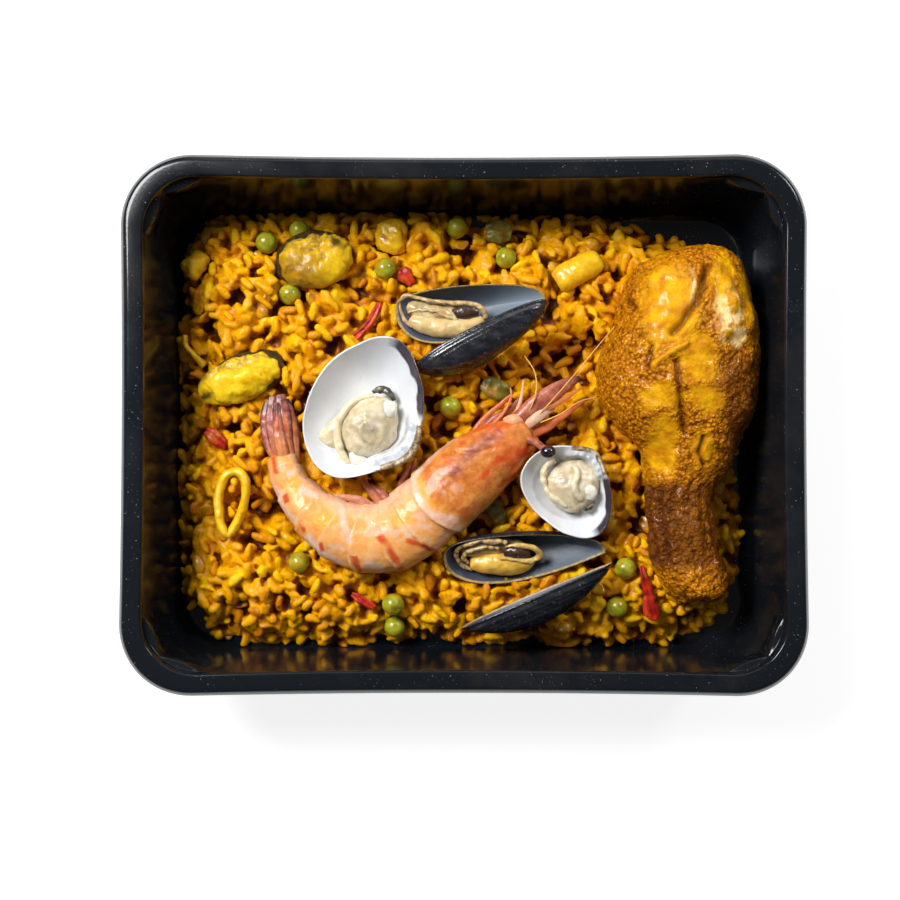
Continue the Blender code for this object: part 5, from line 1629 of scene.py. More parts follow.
# How mauve, white and dark each limb is, then its keys of (x, y, z, half width, half height)
PRAWN_LIMBS = (
    ((1, 0, 0.35), (18.1, 0.9, 30, 3.2, 1.8), (26.1, 8, 31.6, 3.5, 1.2), (34.1, 13.6, 32.2, 2.4, 0.9),
     (40.2, 16.6, 31.6, 0.7, 0.5)),
    ((0, 0.1, 0), (20, -1.6, 29.6, 1.2, 0.9), (27, 4.4, 31.6, 1, 0.8), (35, 9.6, 32, 0.8, 0.6),
     (41, 13.6, 31.6, 0.3, 0.3)),
    ((0.1, 0.75, 0.2), (20.1, -1.1, 29.6, 1.5, 1.3), (24, 2.2, 31.4, 2, 1.5), (28, 5, 31.4, 1.7, 1.2),
     (31.4, 6.6, 30.8, 0.7, 0.6)),
    ((0.35, 0, 0.05), (20.1, -3.1, 27.5, 2.4, 1.8), (28.1, -0.6, 28.4, 1.7, 1.2), (35.6, 4.6, 28.4, 1.1, 0.8),
     (42.6, 9.6, 27.6, 0.3, 0.3)),
    ((0.85, 0, 0.45), (5.1, -2.6, 27, 1.6, 1.4), (10.4, 2.4, 28, 1.5, 1), (15.6, 5.6, 28.6, 1.1, 0.8),
     (19.6, 10, 29, 0.4, 0.4)),
    ((0.3, 0, 0.1), (3.6, -2, 25.6, 1.2, 1), (8, 3.6, 26.4, 1, 0.8), (13.6, 8.2, 27.4, 0.8, 0.6),
     (17.6, 12, 28.4, 0.3, 0.3)),
    ((0, 0.55, 0), (12.6, 1, 28.6, 0.8, 0.6), (17.2, 3.6, 29.6, 0.8, 0.6), (19.6, 9, 29.4, 0.6, 0.5),
     (20.6, 16.4, 28.4, 0.2, 0.2)),
    ((0, 0.2, 0), (10, 0.6, 29.4, 0.6, 0.6), (13.6, 4.4, 30.4, 0.5, 0.5), (16.2, 9.6, 30.2, 0.4, 0.4),
     (16, 13.4, 29.6, 0.2, 0.2)),
    ((0, 0.45, 0), (14.6, 0.8, 29.4, 2.4, 1.8), (17.6, 1.6, 31, 2.6, 1.8), (20.6, 1.4, 30.4, 1.6, 1.2)),
    ((0.95, 0.1, 0.4), (18.1, -4.2, 29.5, 1.8, 1.8), (23.6, -5.2, 33, 1.3, 1.3),
     (27.7, -8.2, 36.4, 1.2, 1.2)),
    ((0.55, 0.45, 0), (-28.9, -30.6, 22.6, 1.9, 1.2), (-34.9, -26, 22.6, 1.6, 0.7),
     (-40.6, -24.6, 22.4, 1.1, 0.5), (-45, -23.8, 22, 0.4, 0.3)),
    ((0.9, 0, 0.35), (-30, -31.6, 21, 1.7, 1), (-35.6, -27.6, 21, 1.3, 0.6), (-42.4, -26.2, 20.8, 0.5, 0.3)),
    ((0.75, 0.25, 0), (-26, -29.1, 23, 2, 1.2), (-30, -24.6, 22.6, 1.7, 0.7), (-33.4, -20.6, 22, 1.2, 0.5),
     (-35.4, -17.6, 21.4, 0.4, 0.3)),
    ((0.9, 0.1, 0.2), (-24.4, -28.6, 23.2, 1.9, 1.2), (-27.4, -24.2, 23.2, 1.6, 0.7),
     (-30.4, -21.4, 22.6, 0.9, 0.5), (-32.4, -19.6, 22, 0.3, 0.3)),
    ((0.6, 0.2, 0.1), (-19.4, -26.1, 23, 2, 1.3), (-21.4, -20.6, 22.6, 1.5, 0.8),
     (-19.6, -15.6, 22, 0.9, 0.5), (-17.4, -11.6, 21.4, 0.3, 0.3)),
    ((0.35, 0.1, 0.3), (-14.9, -21.1, 23, 2, 1.3), (-17, -15.6, 22.4, 1.4, 0.8),
     (-16.6, -10.8, 21.8, 0.4, 0.4)),
)
ANTENNAE = (  # hair-thin feelers
    ((24, 2, 32), (31, 9.6, 34.6), (39.2, 19.2, 37), (45.6, 27, 38.2), (51, 33.4, 38.4)),
    ((26, 1, 31.6), (33, 4, 33), (39.4, 8.2, 31.6), (45.6, 10, 29.6)),
    ((22, 4, 32), (24.6, 11, 33.6), (24.4, 18.4, 30.6), (21, 24.4, 27)),
)
EYE_AT = (28.6, -9.0, 37.0)
EYE_RADIUS = 2.35


def prawn_look(settings):
    look = Look("prawn_shell", 0.24, Coat_Weight=0.15, Coat_Roughness=0.08, IOR=1.34)
    red, white, yolk = look.values("red", "white", "yolk")
    mauve, dark, head = look.values("mauve", "dark", "head")
    cloud = look.noise(7, 4, 0.6, distortion=0.6)
    shell = settings.shell_colour
    base = look.ramp(
        cloud, (0.28, (0.66, 0.19, 0.035)), (0.44, shell), (0.57, (0.84, 0.4, 0.12)),
        (0.72, (0.82, 0.5, 0.27))
    )
    base = look.mix(look.range(yolk, 0.1, 0.8, 0.0, 0.75), base, (0.86, 0.4, 0.03))
    brown = look.mottled(
        (3.2, 4, 0.6), (0.32, (0.36, 0.085, 0.018)), (0.52, (0.58, 0.2, 0.04)), (0.7, (0.74, 0.36, 0.1))
    )
    base = look.mix(look.times(head, 0.8), base, brown)
    # pale shell where white is set, partly painted highlight
    base = look.mix(
        look.range(white, 0.1, 0.9, 0.0, 0.85), base,
        look.mottled((3, 3), (0.3, (0.76, 0.42, 0.3)), (0.7, (0.84, 0.66, 0.54)))
    )
    base = look.mix(look.range(red, 0.15, 0.75, 0.0, 0.9), base, settings.band_colour)
    mauves = look.mottled(
        (2.4, 4, 0.7), (0.35, (0.17, 0.03, 0.022)), (0.52, (0.36, 0.1, 0.075)), (0.7, (0.56, 0.27, 0.22))
    )
    base = look.mix(look.range(mauve, 0.05, 0.95), base, mauves)
    specks = look.specks(1.5, (0.12, 0.07), 9, 0.48, 0.56)
    base = look.mix(look.times(specks, 0.6), base, (0.3, 0.05, 0.01))
    look.paint(look.mix(dark, base, (0.035, 0.012, 0.014)))
    look.dull(2.2, 3, settings.shell_gloss, settings.shell_gloss + 0.2)
    look.bumpy(2.4, 3, 0.3)
    look.bumpy(0.9, 3, 0.09)
    return look.translucent(0.3, (2.0, 0.9, 0.3))


def marked(x, y, marks):
    """1 on the marks' routes, falling to 0 at each one's reach."""
    return np.max([groove(x, y, route, reach) for route, reach in marks], axis=0)


def prawn_body(shape):
    rows, columns = PRAWN_GRID
    t = np.linspace(BODY_START, 1, rows)
    keys = spline(PRAWN, t)
    shut = np.sqrt(smooth(np.minimum((t - BODY_START) / 0.02, (1 - t) / 0.03)) * 0.95 + 0.05)
    grid = sections(keys[:, :3], keys[:, 3] * shut, keys[:, 4] * shut, columns)
    turn = ring_turns(columns)
    up = np.clip(np.sin(turn), 0, 1)[None]
    at = t[:, None] + 0.014 * up**2
    head_at = t[:, None] + 0.03 * up**1.5
    edge = 0.0016 * noise(grid, 3, 5)
    past = np.full(grid.shape[:2], 9.0)
    for plate in PLATE_EDGES:
        gone = at + edge - plate
        past = np.where(gone >= 0, np.minimum(past, gone), past)
    past = np.where(head_at < HEAD_EDGE, past, 9.0)
    lift = PLATE_LIFT * np.clip(1 - past / PLATE_LENGTH, 0, 1) ** 0.7
    in_head = head_at - HEAD_EDGE
    lift = lift + np.where(in_head >= 0, HEAD_LIFT * np.clip(1 - in_head / 0.13, 0, 1) ** 0.6, 0)
    groove_head = 0.7 * groove(grid[..., 0], grid[..., 1], ((-3.0, -9.0), (4.0, -9.5), (10.0, -7.5)), 1.4)
    side = np.cos(turn)[None]
    ridge = 0.8 * bell(side, 1.0, 0.2) * smooth((t[:, None] - 0.8) / 0.08)
    saw = np.maximum(0, np.sin(420 * t)) * smooth((t - 0.84) / 0.04)
    teeth = 0.7 * saw[:, None] * bell(side, 1.0, 0.06)
    lumps = 0.55 * noise(grid, 7, 3, 2) + 0.12 * noise(grid, 1.8, 9, 2)
    relief = lift + lumps - groove_head * (in_head > 0) + ridge + teeth
    grid = lifted(grid, relief * shut[:, None])
    px, py = grid[..., 0], grid[..., 1]
    wander = 1.1 * noise(grid, 3.5, 17, 2)
    fade = smooth(np.sin(turn) + 0.55)[None]
    # white: pale flanks, plate edges and streaks of the shell, and marks that are partly painted highlight
    white = marked(px + wander, py, PALE_AND_HIGHLIGHT_MARKS) * fade
    rear_edge = 0.8 * bell(in_head, 0.008, 0.016) + 0.3 * bell(past, 0.004, 0.009)
    white = np.clip(np.maximum(white, rear_edge * (0.4 + 0.6 * fade)), 0, 1)
    white = np.maximum(white, 0.6 * smooth(-np.cos(turn)[None] * 1.6 - 0.5) * (in_head < 0))
    clouds = smooth(noise(grid, 4.5, 51, 2) * 2.4 - 0.35) * fade * (in_head < 0)
    white = np.maximum(white, 0.62 * clouds)
    red = np.clip(marked(px + wander, py - wander, RED_MARKS), 0, 1) * (0.75 + 0.5 * noise(grid, 2.4, 23))
    in_front = smooth((in_head - 0.015) / 0.03)
    red = np.maximum(red, (0.24 + 0.36 * smooth(noise(grid, 6, 29, 2) * 2)) * in_front)
    back = smooth((0.36 - t) / 0.12)[:, None]
    red = np.maximum(red, (0.12 + 0.4 * smooth(noise(grid, 3.4, 37, 2) * 2.4 - 0.2)) * back)
    streak = groove(px, py, *HEAD_STREAK) * smooth(noise(grid, 2.6, 31, 2) + 0.85) * (in_head > 0)
    # painted sheen: a pale patch on the head, broken by a noise, that goes into white
    mottle = patch(px, py, HEAD_SHEEN_PATCH) * smooth(noise(grid, 1.3, 41, 2) * 2.5 + 0.3) * (in_head > 0)
    yolk = np.maximum(np.max([patch(px, py, spot) for spot in YOLK_SPOTS], axis=0) * fade, 0.6 * in_front)
    white, red = np.maximum(white, 0.8 * mottle), np.clip(red, 0, 1)
    add_skin(shape, grid, white=white, red=red, yolk=yolk, mauve=streak * 0.85, dark=0.0, head=in_front)


def prawn_tail(shape):
    for i, keys in enumerate(TAIL_BLADES):
        blade = swept(keys, 84, 30, 0.05)
        along, turn = shares_of(blade)
        across = np.cos(turn)
        ribs = 0.08 * np.sin(14 * across + 1.4 * noise(blade, 5, 3 + i)) + 0.25 * bell(across, 0, 0.3)
        blade = lifted(blade, ribs * (along > 0.02) + 0.12 * noise(blade, 2.0, i + 5, 2))
        margin = smooth((np.abs(across) - 0.55 + 0.25 * noise(blade, 3, 11 + i, 2)) / 0.3)
        tip = smooth((along - 0.62) / 0.3)
        mauve = (0.5 + 0.5 * margin) * (0.25 + 1.2 * along) + 0.6 * tip + 0.3 * noise(blade, 3, 21, 2)
        mauve = np.clip(mauve + (0.3 if i in (0, 2) else 0.0), 0, 1)
        white = 0.3 * smooth(noise(blade, 2.2, 31 + i, 2) * 2.6 - 0.9) * (1 - 0.7 * tip)
        streak = bell(across, 0.0, 0.6) * (1 - 0.6 * tip)
        red = np.clip(0.35 + 0.6 * streak * smooth(noise(blade, 4, 6, 2) * 2 + 0.5) + 0.5 * tip, 0, 1)
        dark = 0.9 * smooth((along - 0.7) / 0.25) * (0.55 + noise(blade, 2.4, 51, 2))
        dark = np.clip(dark + (0.7 if i == 0 else 0.35) * margin * along, 0, 1)
        add_skin(shape, blade, white=white, red=red, yolk=0.5 * streak, mauve=mauve, dark=dark, head=0.3)


def prawn_limbs(shape):
    for i, ((mauve, white, dark), *keys) in enumerate(PRAWN_LIMBS):
        limb = swept(keys, 44, 16, 0.06)
        along, turn = shares_of(limb)
        edge = smooth((np.abs(np.cos(turn)) - 0.6) / 0.3)
        limb = lifted(limb, 0.14 * noise(limb, 2.0, i + 4, 2) + 0.1 * np.sin(9 * np.cos(turn)))
        tip = smooth((along - 0.8) / 0.18)
        red = 0.55 * (1 - white)
        mauve = np.clip(mauve * (0.8 + 0.5 * noise(limb, 3, i, 2)) * (1 - 0.35 * edge), 0, 1)
        white = np.clip(white + 0.1 * edge, 0, 1)
        dark = dark * (0.6 + 0.8 * noise(limb, 2.5, i + 9, 2)) + (0.7 * tip if i == 0 else 0.0)
        dark = np.clip(dark, 0, 1)
        add_skin(shape, limb, mauve=mauve, white=white, dark=dark, red=red, yolk=0.5 * edge, head=0.3)
    for route in ANTENNAE:
        keys = [(*at, 0.26 - 0.03 * k, 0.26 - 0.03 * k) for k, at in enumerate(route)]
        add_skin(shape, swept(keys, 60, 8, 0.02), mauve=0.0, white=0.2, dark=0.0, red=0.1, yolk=0.9, head=0.0)


def make_prawn(settings):
    shape = Shape()
    prawn_body(shape)
    prawn_tail(shape)
    prawn_limbs(shape)
    shown(shape.piece("prawn_shell", prawn_look(settings)), "prawn", "prawn")
    look = Look("prawn_eye", 0.08, Coat_Weight=1.0, Coat_Roughness=0.03)
    look.paint(look.mottled((1.6, 2), (0.4, (0.004, 0.003, 0.005)), (0.75, (0.06, 0.03, 0.05))))
    points, faces = ball_form(4)
    eye = Shape().add(points * EYE_RADIUS * np.array([1.15, 0.95, 0.95]) + np.array(EYE_AT), [faces])
    shown(eye.piece("prawn_eye", look.material), "prawn", "prawn")


# ---- small toppings

# Lying pieces, as keys of (x, y, height, half width, half height)
SMALL = {
    "shelled_mussel_back": (
        (-63.9, 56.9, 1, 3.6, 2.4), (-58.9, 56.9, 2, 7.6, 4.6), (-50.9, 58, 2.5, 9.6, 5.4),
        (-43.5, 60, 2, 7.6, 4.6), (-38.7, 61.4, 1, 3.4, 2.4)
    ),
    "shelled_mussel_left": (
        (-91.9, 11.4, 1, 2.6, 2.2), (-86.3, 13.6, 2, 6.4, 4.6), (-77.9, 16.8, 2.5, 7.9, 5.6),
        (-69.5, 20, 2, 6.2, 4.6), (-64.3, 21.6, 1, 2.6, 2.4)
    ),
    "squid_chunk_right": (
        (31.9, 50, 1, 3.4, 2.2), (36.1, 52.6, 1.5, 4.9, 3.8), (44.5, 57.2, 1.5, 4.4, 3.4),
        (48.3, 59.6, 1, 3, 2)
    ),
    "squid_chunk_back": (
        (-26.9, 62, 0.5, 3.6, 2.6), (-25.9, 65.8, 1.5, 5.4, 4), (-24.9, 70.4, 1.5, 5.2, 3.8),
        (-24.3, 73.4, 0.5, 3.2, 2.2)
    ),
    "squid_chunk_left": (
        (-97.7, 54.2, 1, 2.8, 2), (-96.1, 56.8, 2, 4.2, 3.2), (-93.5, 59.6, 2, 4, 3),
        (-91.5, 61.2, 1, 2.4, 1.8)
    ),
    "squid_strip": (
        (-98.5, 33, 2.4, 0.9, 1.4), (-98.3, 29.2, 2, 1.1, 1.6), (-95.3, 25.8, 1.6, 1.1, 1.6),
        (-91.3, 21.8, 1, 1.5, 1.5)
    ),
    "pepper_behind_mussel": (
        (-21.7, 55.6, 0.5, 1.6, 1.2), (-20.5, 53.4, 1.2, 2.7, 1.6), (-17.7, 50, 0.5, 1.4, 1)
    ),
    "pepper_strip_middle": (
        (-29.5, 44, 0.5, 1, 0.9), (-30.5, 40.4, 1, 1.5, 1.1), (-33.5, 35.4, 1.2, 1.4, 1.1),
        (-38.3, 31, 0.5, 1.8, 1.1)
    ),
    "pepper_left": (
        (-90.5, -1, 0.5, 1.2, 1), (-88.1, -2.6, 1, 2.6, 1.6), (-85.3, -4.8, 1, 2.4, 1.6),
        (-82.9, -6.8, 0.5, 1.2, 1)
    ),
    "pepper_strip_right": (
        (61.7, -47.4, 1, 0.7, 0.8), (62.7, -52.6, 1.6, 1.5, 1.1), (64.3, -58.2, 1.2, 1.9, 1.2),
        (65.3, -63.8, 1, 2.8, 1.4), (67.9, -66.6, 0.5, 1.4, 1)
    ),
    "pepper_strip_front": (
        (-39.3, -58.2, 0.5, 0.8, 0.8), (-36.5, -59.8, 1, 1.7, 1.2), (-33.1, -62, 1, 1.5, 1.1),
        (-31.1, -63.4, 0.5, 0.8, 0.8)
    ),
    "green_pepper_middle": (
        (8.1, -23, -0.4, 2, 0.9), (9.7, -26.6, 0.2, 3.3, 1.2), (11.9, -30.6, 0, 3.2, 1.2),
        (12.7, -34, -0.6, 1.6, 0.8)
    ),
    "green_pepper_back": (
        (7.9, 68.8, 0.2, 2.4, 0.9), (11.1, 69, 0.6, 4, 1.3), (14.5, 68.8, 0.6, 3.8, 1.2),
        (17.5, 68.2, 0.2, 2, 0.8)
    ),
    "green_pepper_shade": (
        (6.3, 15.8, 0.2, 2.2, 0.9), (9.7, 14, 0.6, 3.8, 1.3), (13.5, 12, 0.6, 3.6, 1.2),
        (16.9, 10.6, 0.2, 1.8, 0.8)
    ),
}
PEA_RADIUS = 3.9
RING_AT = (-80.8, -26.4)
RING_REACH = (4.5, 10.9)
RING_BAND = (1.55, 2.2)
RING_GRID = (160, 36)


def laid(name):
    """A lying piece's keys with their heights in the tray's frame, read from its solid."""
    keys = np.array(SMALL[name], float)
    keys[:, 2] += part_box(name)[1].z / MM - (keys[:, 2] + keys[:, 4]).max()
    return keys


def sauced_look(settings):
    look = Look("sauced_mussel", 0.3, Coat_Weight=0.16, Coat_Roughness=0.06, IOR=1.3)
    dark, frill, ochre = look.values("dark", "frill", "ochre")
    base = look.mottled(
        (4, 4, 0.6), (0.3, (0.6, 0.3, 0.004)), (0.48, settings.sauced_colour), (0.7, (0.9, 0.64, 0.02))
    )
    sauce = look.mottled(
        (2.6, 4, 0.65), (0.35, (0.17, 0.07, 0.003)), (0.52, (0.36, 0.16, 0.005)), (0.68, (0.54, 0.29, 0.006))
    )
    # ochre lays a darker brown over the dull piece, most on one end, and painted shade in the folds
    base = look.mix(ochre, base, sauce)
    base = look.mix(look.times(frill, look.range(look.noise(1.4, 3), 0.38, 0.62)), base, (0.24, 0.15, 0.05))
    look.paint(look.mix(dark, base, (0.02, 0.014, 0.008)))
    look.bumpy(2.6, 3, 0.34)
    look.bumpy(0.8, 3, 0.1)
    return look.translucent(0.3, (1.6, 0.9, 0.1))


def make_sauced_mussel(name, look, seed, lip, eye, dull):
    """lip is how far the dark shell shows beyond the meat in x and y, eye where the dark spot lies."""
    keys = laid(name)
    shape = Shape()
    body = swept(keys, 80, 72, 0.1)
    along, turn = shares_of(body)
    across = np.cos(turn)
    wander = across + 0.25 * np.sin(4 * along) + 0.2 * noise(body, 6, seed + 7)
    slit = bell(wander, -0.3, 0.16) * smooth(np.sin(turn)) * bell(along, 0.5, 0.36)
    frill = smooth((-across - 0.5) / 0.3) * smooth(np.sin(turn) + 0.45)
    ruffle = 1.2 * frill * noise(body, 1.5, seed + 3, 2)
    folds = 1 - smooth(borders(body + 1.5 * noise(body, 4, seed)[..., None], 8.5, seed + 8) / 0.2)
    folds = folds * smooth(noise(body, 5, seed + 9) * 3 + 0.4)
    lumps = 1.1 * noise(body, 6, seed, 2) + 0.45 * noise(body, 2.4, seed + 2, 2)
    body = lifted(body, lumps - 0.45 * folds + 0.4 * ruffle - 0.9 * slit)
    spot = smooth(
        1.4 - np.hypot((along - eye[0]) / 0.09, (across - eye[1]) / 0.26) + 0.5 * noise(body, 2, seed + 5, 2)
    )
    spot = spot * smooth(np.sin(turn) * 3 + 0.6)
    left = smooth((0.62 - along) / 0.25) * smooth(0.9 + across)
    # ochre: darker brown where the piece is dull, most on one end, and painted shade in the folds
    ochre = np.clip(dull * (0.35 + 0.65 * left) + 0.35 * folds, 0, 1)
    membrane = 0.8 * frill + 0.7 * slit + 0.6 * dull * left * smooth(2 * noise(body, 3, seed + 4, 2) + 0.5)
    add_skin(shape, body, dark=np.clip(spot * 0.9, 0, 1), frill=np.clip(membrane, 0, 1), ochre=ochre)
    under = keys + np.array([*lip, -1.2, 0.3, -0.9])
    shell = swept(under, 60, 44, 0.1)
    worn = smooth(noise(shell, 1.6, 9, 2) * 3 - 1)
    shell = lifted(shell, 0.2 * noise(shell, 2, seed + 6, 2))
    add_skin(shape, shell, dark=0.9 - 0.5 * worn, frill=0.6, ochre=1.0)
    return shown(shape.piece(name + "_flesh", look), "sauced_mussel", name)


def squid_look(settings):
    look = Look("squid", 0.24, Coat_Weight=0.3, Coat_Roughness=0.06, IOR=1.4)
    base = look.mottled(
        (3.4, 4, 0.6), (0.22, (0.5, 0.22, 0.004)), (0.4, settings.squid_colour), (0.72, (0.88, 0.58, 0.015))
    )
    # deep darkens the sunk parts of the chunks: painted shade in the hollows
    look.paint(look.mix(look.range(look.value("deep"), 0.1, 1.0), base, (0.3, 0.09, 0.003)))
    look.bumpy(1.2, 3, 0.2)
    look.bumpy(0.5, 2, 0.06)
    return look.translucent(0.4, (1.8, 0.9, 0.2))


def make_squid(settings):
    look = squid_look(settings)
    for i, name in enumerate(n for n in SMALL if n.startswith("squid")):
        keys = laid(name)
        if name == "squid_strip":
            grid = swept(keys, 70, 24, 0.06)
            relief = 0.3 * noise(grid, 2.4, 4, 2)
            deep = 0.0
        else:
            grid = swept(keys, 70, 64, 0.2)
            edges = 0.7 * np.abs(noise(grid, 6.0, 40 + i, 1))
            rugged = 0.35 if name.endswith("right") else 1.0
            relief = rugged * (1.1 * noise(grid, 4.5, 30 + i, 2) + 0.4 * noise(grid, 1.8, 50 + i, 2) + edges)
            # deep is painted shade: darker where the same noise sinks the surface
            deep = smooth(-noise(grid, 4.5, 30 + i, 2) * 3 - 0.2) * 0.7 * rugged
        grid = lifted(grid, relief)
        shown(add_skin(Shape(), grid, deep=deep).piece(name + "_flesh", look), "squid", name)
    steps, around = RING_GRID
    a = ring_turns(steps)
    along = RING_REACH[1] * np.cos(a)
    across = RING_REACH[0] * np.sin(a) * (1 + 0.35 * np.cos(a)) + 0.12 * along
    low, high = (corner.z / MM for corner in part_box("squid_ring"))
    rise = (low + high) / 2 + 0.8 * np.sin(2 * a)
    path = np.stack([RING_AT[0] + across, RING_AT[1] + along, rise], axis=1)
    grid = sections(path, np.full(steps, RING_BAND[0]), np.full(steps, RING_BAND[1]), around, looped=True)
    grid = lifted(grid, 0.35 * noise(grid, 3.0, 8, 2) + 0.14 * noise(grid, 1.1, 9, 2))
    points = grid.reshape(-1, 3)
    faces = outward(points, [grid_faces(steps, around, closed=True, looped=True)])
    shown(Shape().add(points, faces, deep=0.0).piece("squid_ring_flesh", look), "squid", "squid_ring")


def pepper_look(name, dull, main, bright):
    look = Look(name, 0.36, Coat_Weight=0.08, Coat_Roughness=0.1, IOR=1.36)
    base = look.mottled((3.0, 3), (0.3, dull), (0.5, main), (0.75, bright))
    stain = look.range(look.noise(5, 3), 0.52, 0.68, 0.0, 0.55)
    look.paint(look.mix(stain, base, (0.5, 0.17, 0.004)))
    look.bumpy(2.0, 2, 0.25)
    look.bumpy(0.7, 2, 0.05)
    return look.translucent(0.3, (2.0, 0.5, 0.2))


def make_peppers(settings):
    red = pepper_look("red_pepper", (0.17, 0.005, 0.002), settings.red_colour, (0.62, 0.06, 0.012))
    green = pepper_look("green_pepper", (0.07, 0.06, 0.008), settings.green_colour, (0.3, 0.3, 0.06))
    for i, name in enumerate(n for n in SMALL if "pepper" in n):
        look, slot = (green, "green_pepper") if name.startswith("green") else (red, "red_pepper")
        grid = swept(laid(name), 70, 44, 0.1)
        turn = shares_of(grid)[1]
        curl = -0.5 * smooth(np.sin(turn)) * bell(np.cos(turn), 0, 0.7)
        grid = lifted(grid, 0.5 * noise(grid, 4.0, 60 + i, 2) + 0.2 * noise(grid, 1.7, 80 + i) + curl)
        shown(add_skin(Shape(), grid).piece(name + "_flesh", look), slot, name)


def make_peas(settings):
    look = Look("pea", 0.24, Coat_Weight=0.4, Coat_Roughness=0.1, IOR=1.42)
    base = look.mottled(
        (3.4, 3), (0.3, (0.2, 0.18, 0.008)), (0.5, settings.pea_colour), (0.72, (0.46, 0.42, 0.03))
    )
    stain = look.range(look.noise(4.2, 3), 0.5, 0.66, 0.0, 0.6)
    look.paint(look.mix(stain, base, (0.55, 0.26, 0.004)))
    look.bumpy(2.6, 2, 0.2)
    look.bumpy(0.9, 2, 0.05)
    look.translucent(0.35, (1.2, 1.0, 0.2))
    ball, faces = ball_form(4)
    rng = np.random.default_rng(settings.seed)
    for name in sorted(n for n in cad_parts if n.startswith("pea_")):
        low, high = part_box(name)
        middle = np.array((low + high) / 2) / MM
        spin = np.array(turned((0, 0, 0), *rng.uniform(0, 360, 3)))[:3, :3]
        puckered = 1 + 0.02 * noise(ball, 0.7, int(middle[0]) + 200, 2)
        dimple = 0.1 * bell(np.linalg.norm(ball - np.array([0, 0, 1.0]), axis=1), 0, 0.4)
        grown = PEA_RADIUS * rng.uniform(0.95, 1.02)
        squash = np.array([1.0, rng.uniform(0.93, 1.0), rng.uniform(0.93, 1.0)])
        points = (ball * (puckered - dimple)[:, None] * squash * grown) @ spin.T + middle
        shown(Shape().add(points, [faces]).piece(name + "_skin", look.material), "pea", name)


def make_toppings(settings):
    look = sauced_look(settings)
    make_sauced_mussel("shelled_mussel_back", look, 3, (-2.0, 1.1), (0.78, -0.5), 0.85)
    make_sauced_mussel("shelled_mussel_left", look, 11, (1.8, 1.2), (0.1, 0.35), 0.1)
    make_squid(settings)
    make_peppers(settings)
    make_peas(settings)


# ---- stage

CAMERA_AT = (-2.8, -18.2, 530.0)
CAMERA_AIM = (-4.5, -8.6, 50.0)
CAMERA_LENS = 58.46
FLOOR_HALF = 2500.0


def soft_light(name, at, aim, size, power):
    lamp = bpy.data.lights.new(name, "AREA")
    lamp.shape = "RECTANGLE"
    lamp.size, lamp.size_y = size
    lamp.energy = power
    obj = bpy.data.objects.new(name, lamp)
    bpy.context.scene.collection.objects.link(obj)
    obj.location = Vector(at) * MM
    obj.rotation_euler = (Vector(aim) - Vector(at)).to_track_quat("-Z", "Y").to_euler()
    return obj


def make_stage(settings):
    scene = bpy.context.scene
    scene.view_settings.view_transform = "Standard"
    floor_look = Look(
        "pale_floor", 0.8, Emission_Strength=0.84, Emission_Color=(1.0, 1.0, 1.0), Specular_IOR_Level=0.0
    )
    floor_look.paint(settings.floor_colour)
    corners = [(x * FLOOR_HALF, y * FLOOR_HALF, 0) for x, y in ((-1, -1), (1, -1), (1, 1), (-1, 1))]
    floor = Shape().add(corners, [np.array([[0, 1, 2, 3]])]).piece("floor", floor_look.material)
    soft_light("key_window", (-450, 345, 710), (0, 0, 20), (0.3, 0.36), settings.key_power)
    soft_light("side_fill", (560, 420, 560), (20, 0, 20), (0.14, 0.16), settings.fill_power)
    soft_light("back_soft", (120, 900, 620), (0, 0, 0), (0.9, 0.6), settings.back_power)
    world = bpy.data.worlds.new("studio")
    world.use_nodes = True
    world.node_tree.nodes["Background"].inputs["Color"].default_value = (1, 1, 1, 1)
    world.node_tree.nodes["Background"].inputs["Strength"].default_value = settings.world_light
    scene.world = world
    lens = bpy.data.cameras.new("camera")
    lens.lens, lens.sensor_width = CAMERA_LENS, 36.0
    lens.clip_start, lens.clip_end = 0.01, 20.0
    camera = bpy.data.objects.new("camera", lens)
    scene.collection.objects.link(camera)
    ahead = (Vector(CAMERA_AIM) - Vector(CAMERA_AT)).normalized()
    right = ahead.cross(Vector((0, 1, 0))).normalized()
    turn = Matrix((right, right.cross(ahead), -ahead)).transposed()
    camera.matrix_world = Matrix.Translation(Vector(CAMERA_AT) * MM) @ turn.to_4x4()
    scene.camera = camera


# ---- settings, operators and panel


def colour(name, description, default):
    return FloatVectorProperty(
        name=name, description=description, default=default, size=3, min=0.0, max=1.0, subtype="COLOR"
    )


def gloss(description, default):
    return FloatProperty(
        name="Roughness", description=description, default=default, min=0.0, max=1.0, subtype="FACTOR"
    )


def power(name, description, default):
    return FloatProperty(name=name, description=description, default=default, min=0.0, unit="POWER")


def seed(default):
    return IntProperty(
        name="Seed", description="Another number lays the pieces another way", default=default, min=0
    )


class PAELLA_PG_tray(bpy.types.PropertyGroup):
    plastic_colour: colour("Plastic", "Colour of the moulded plastic", (0.006, 0.008, 0.011))
    plastic_gloss: gloss("How dull the plastic is", 0.11)


class PAELLA_PG_rice(bpy.types.PropertyGroup):
    grain_length: FloatProperty(
        name="Grain length",
        description="Length of a long grain of cooked rice",
        default=GRAIN_LENGTH * MM,
        min=0.004,
        max=0.012,
        unit="LENGTH",
    )
    seed: seed(5)
    pale_colour: colour("Pale grains", "Colour of the palest grains", (0.9, 0.56, 0.002))
    grain_colour: colour("Grains", "Colour of most grains", (0.76, 0.345, 0.001))
    deep_colour: colour("Deep grains", "Colour of the most stained grains", (0.5, 0.155, 0.001))
    # Sauce colour, and also the first step of the painted shade that darkens the rice's gaps by depth
    sauce_and_shade_colour: colour("Sauce", "Colour of the sauce in the gaps", (0.3, 0.072, 0.0009))


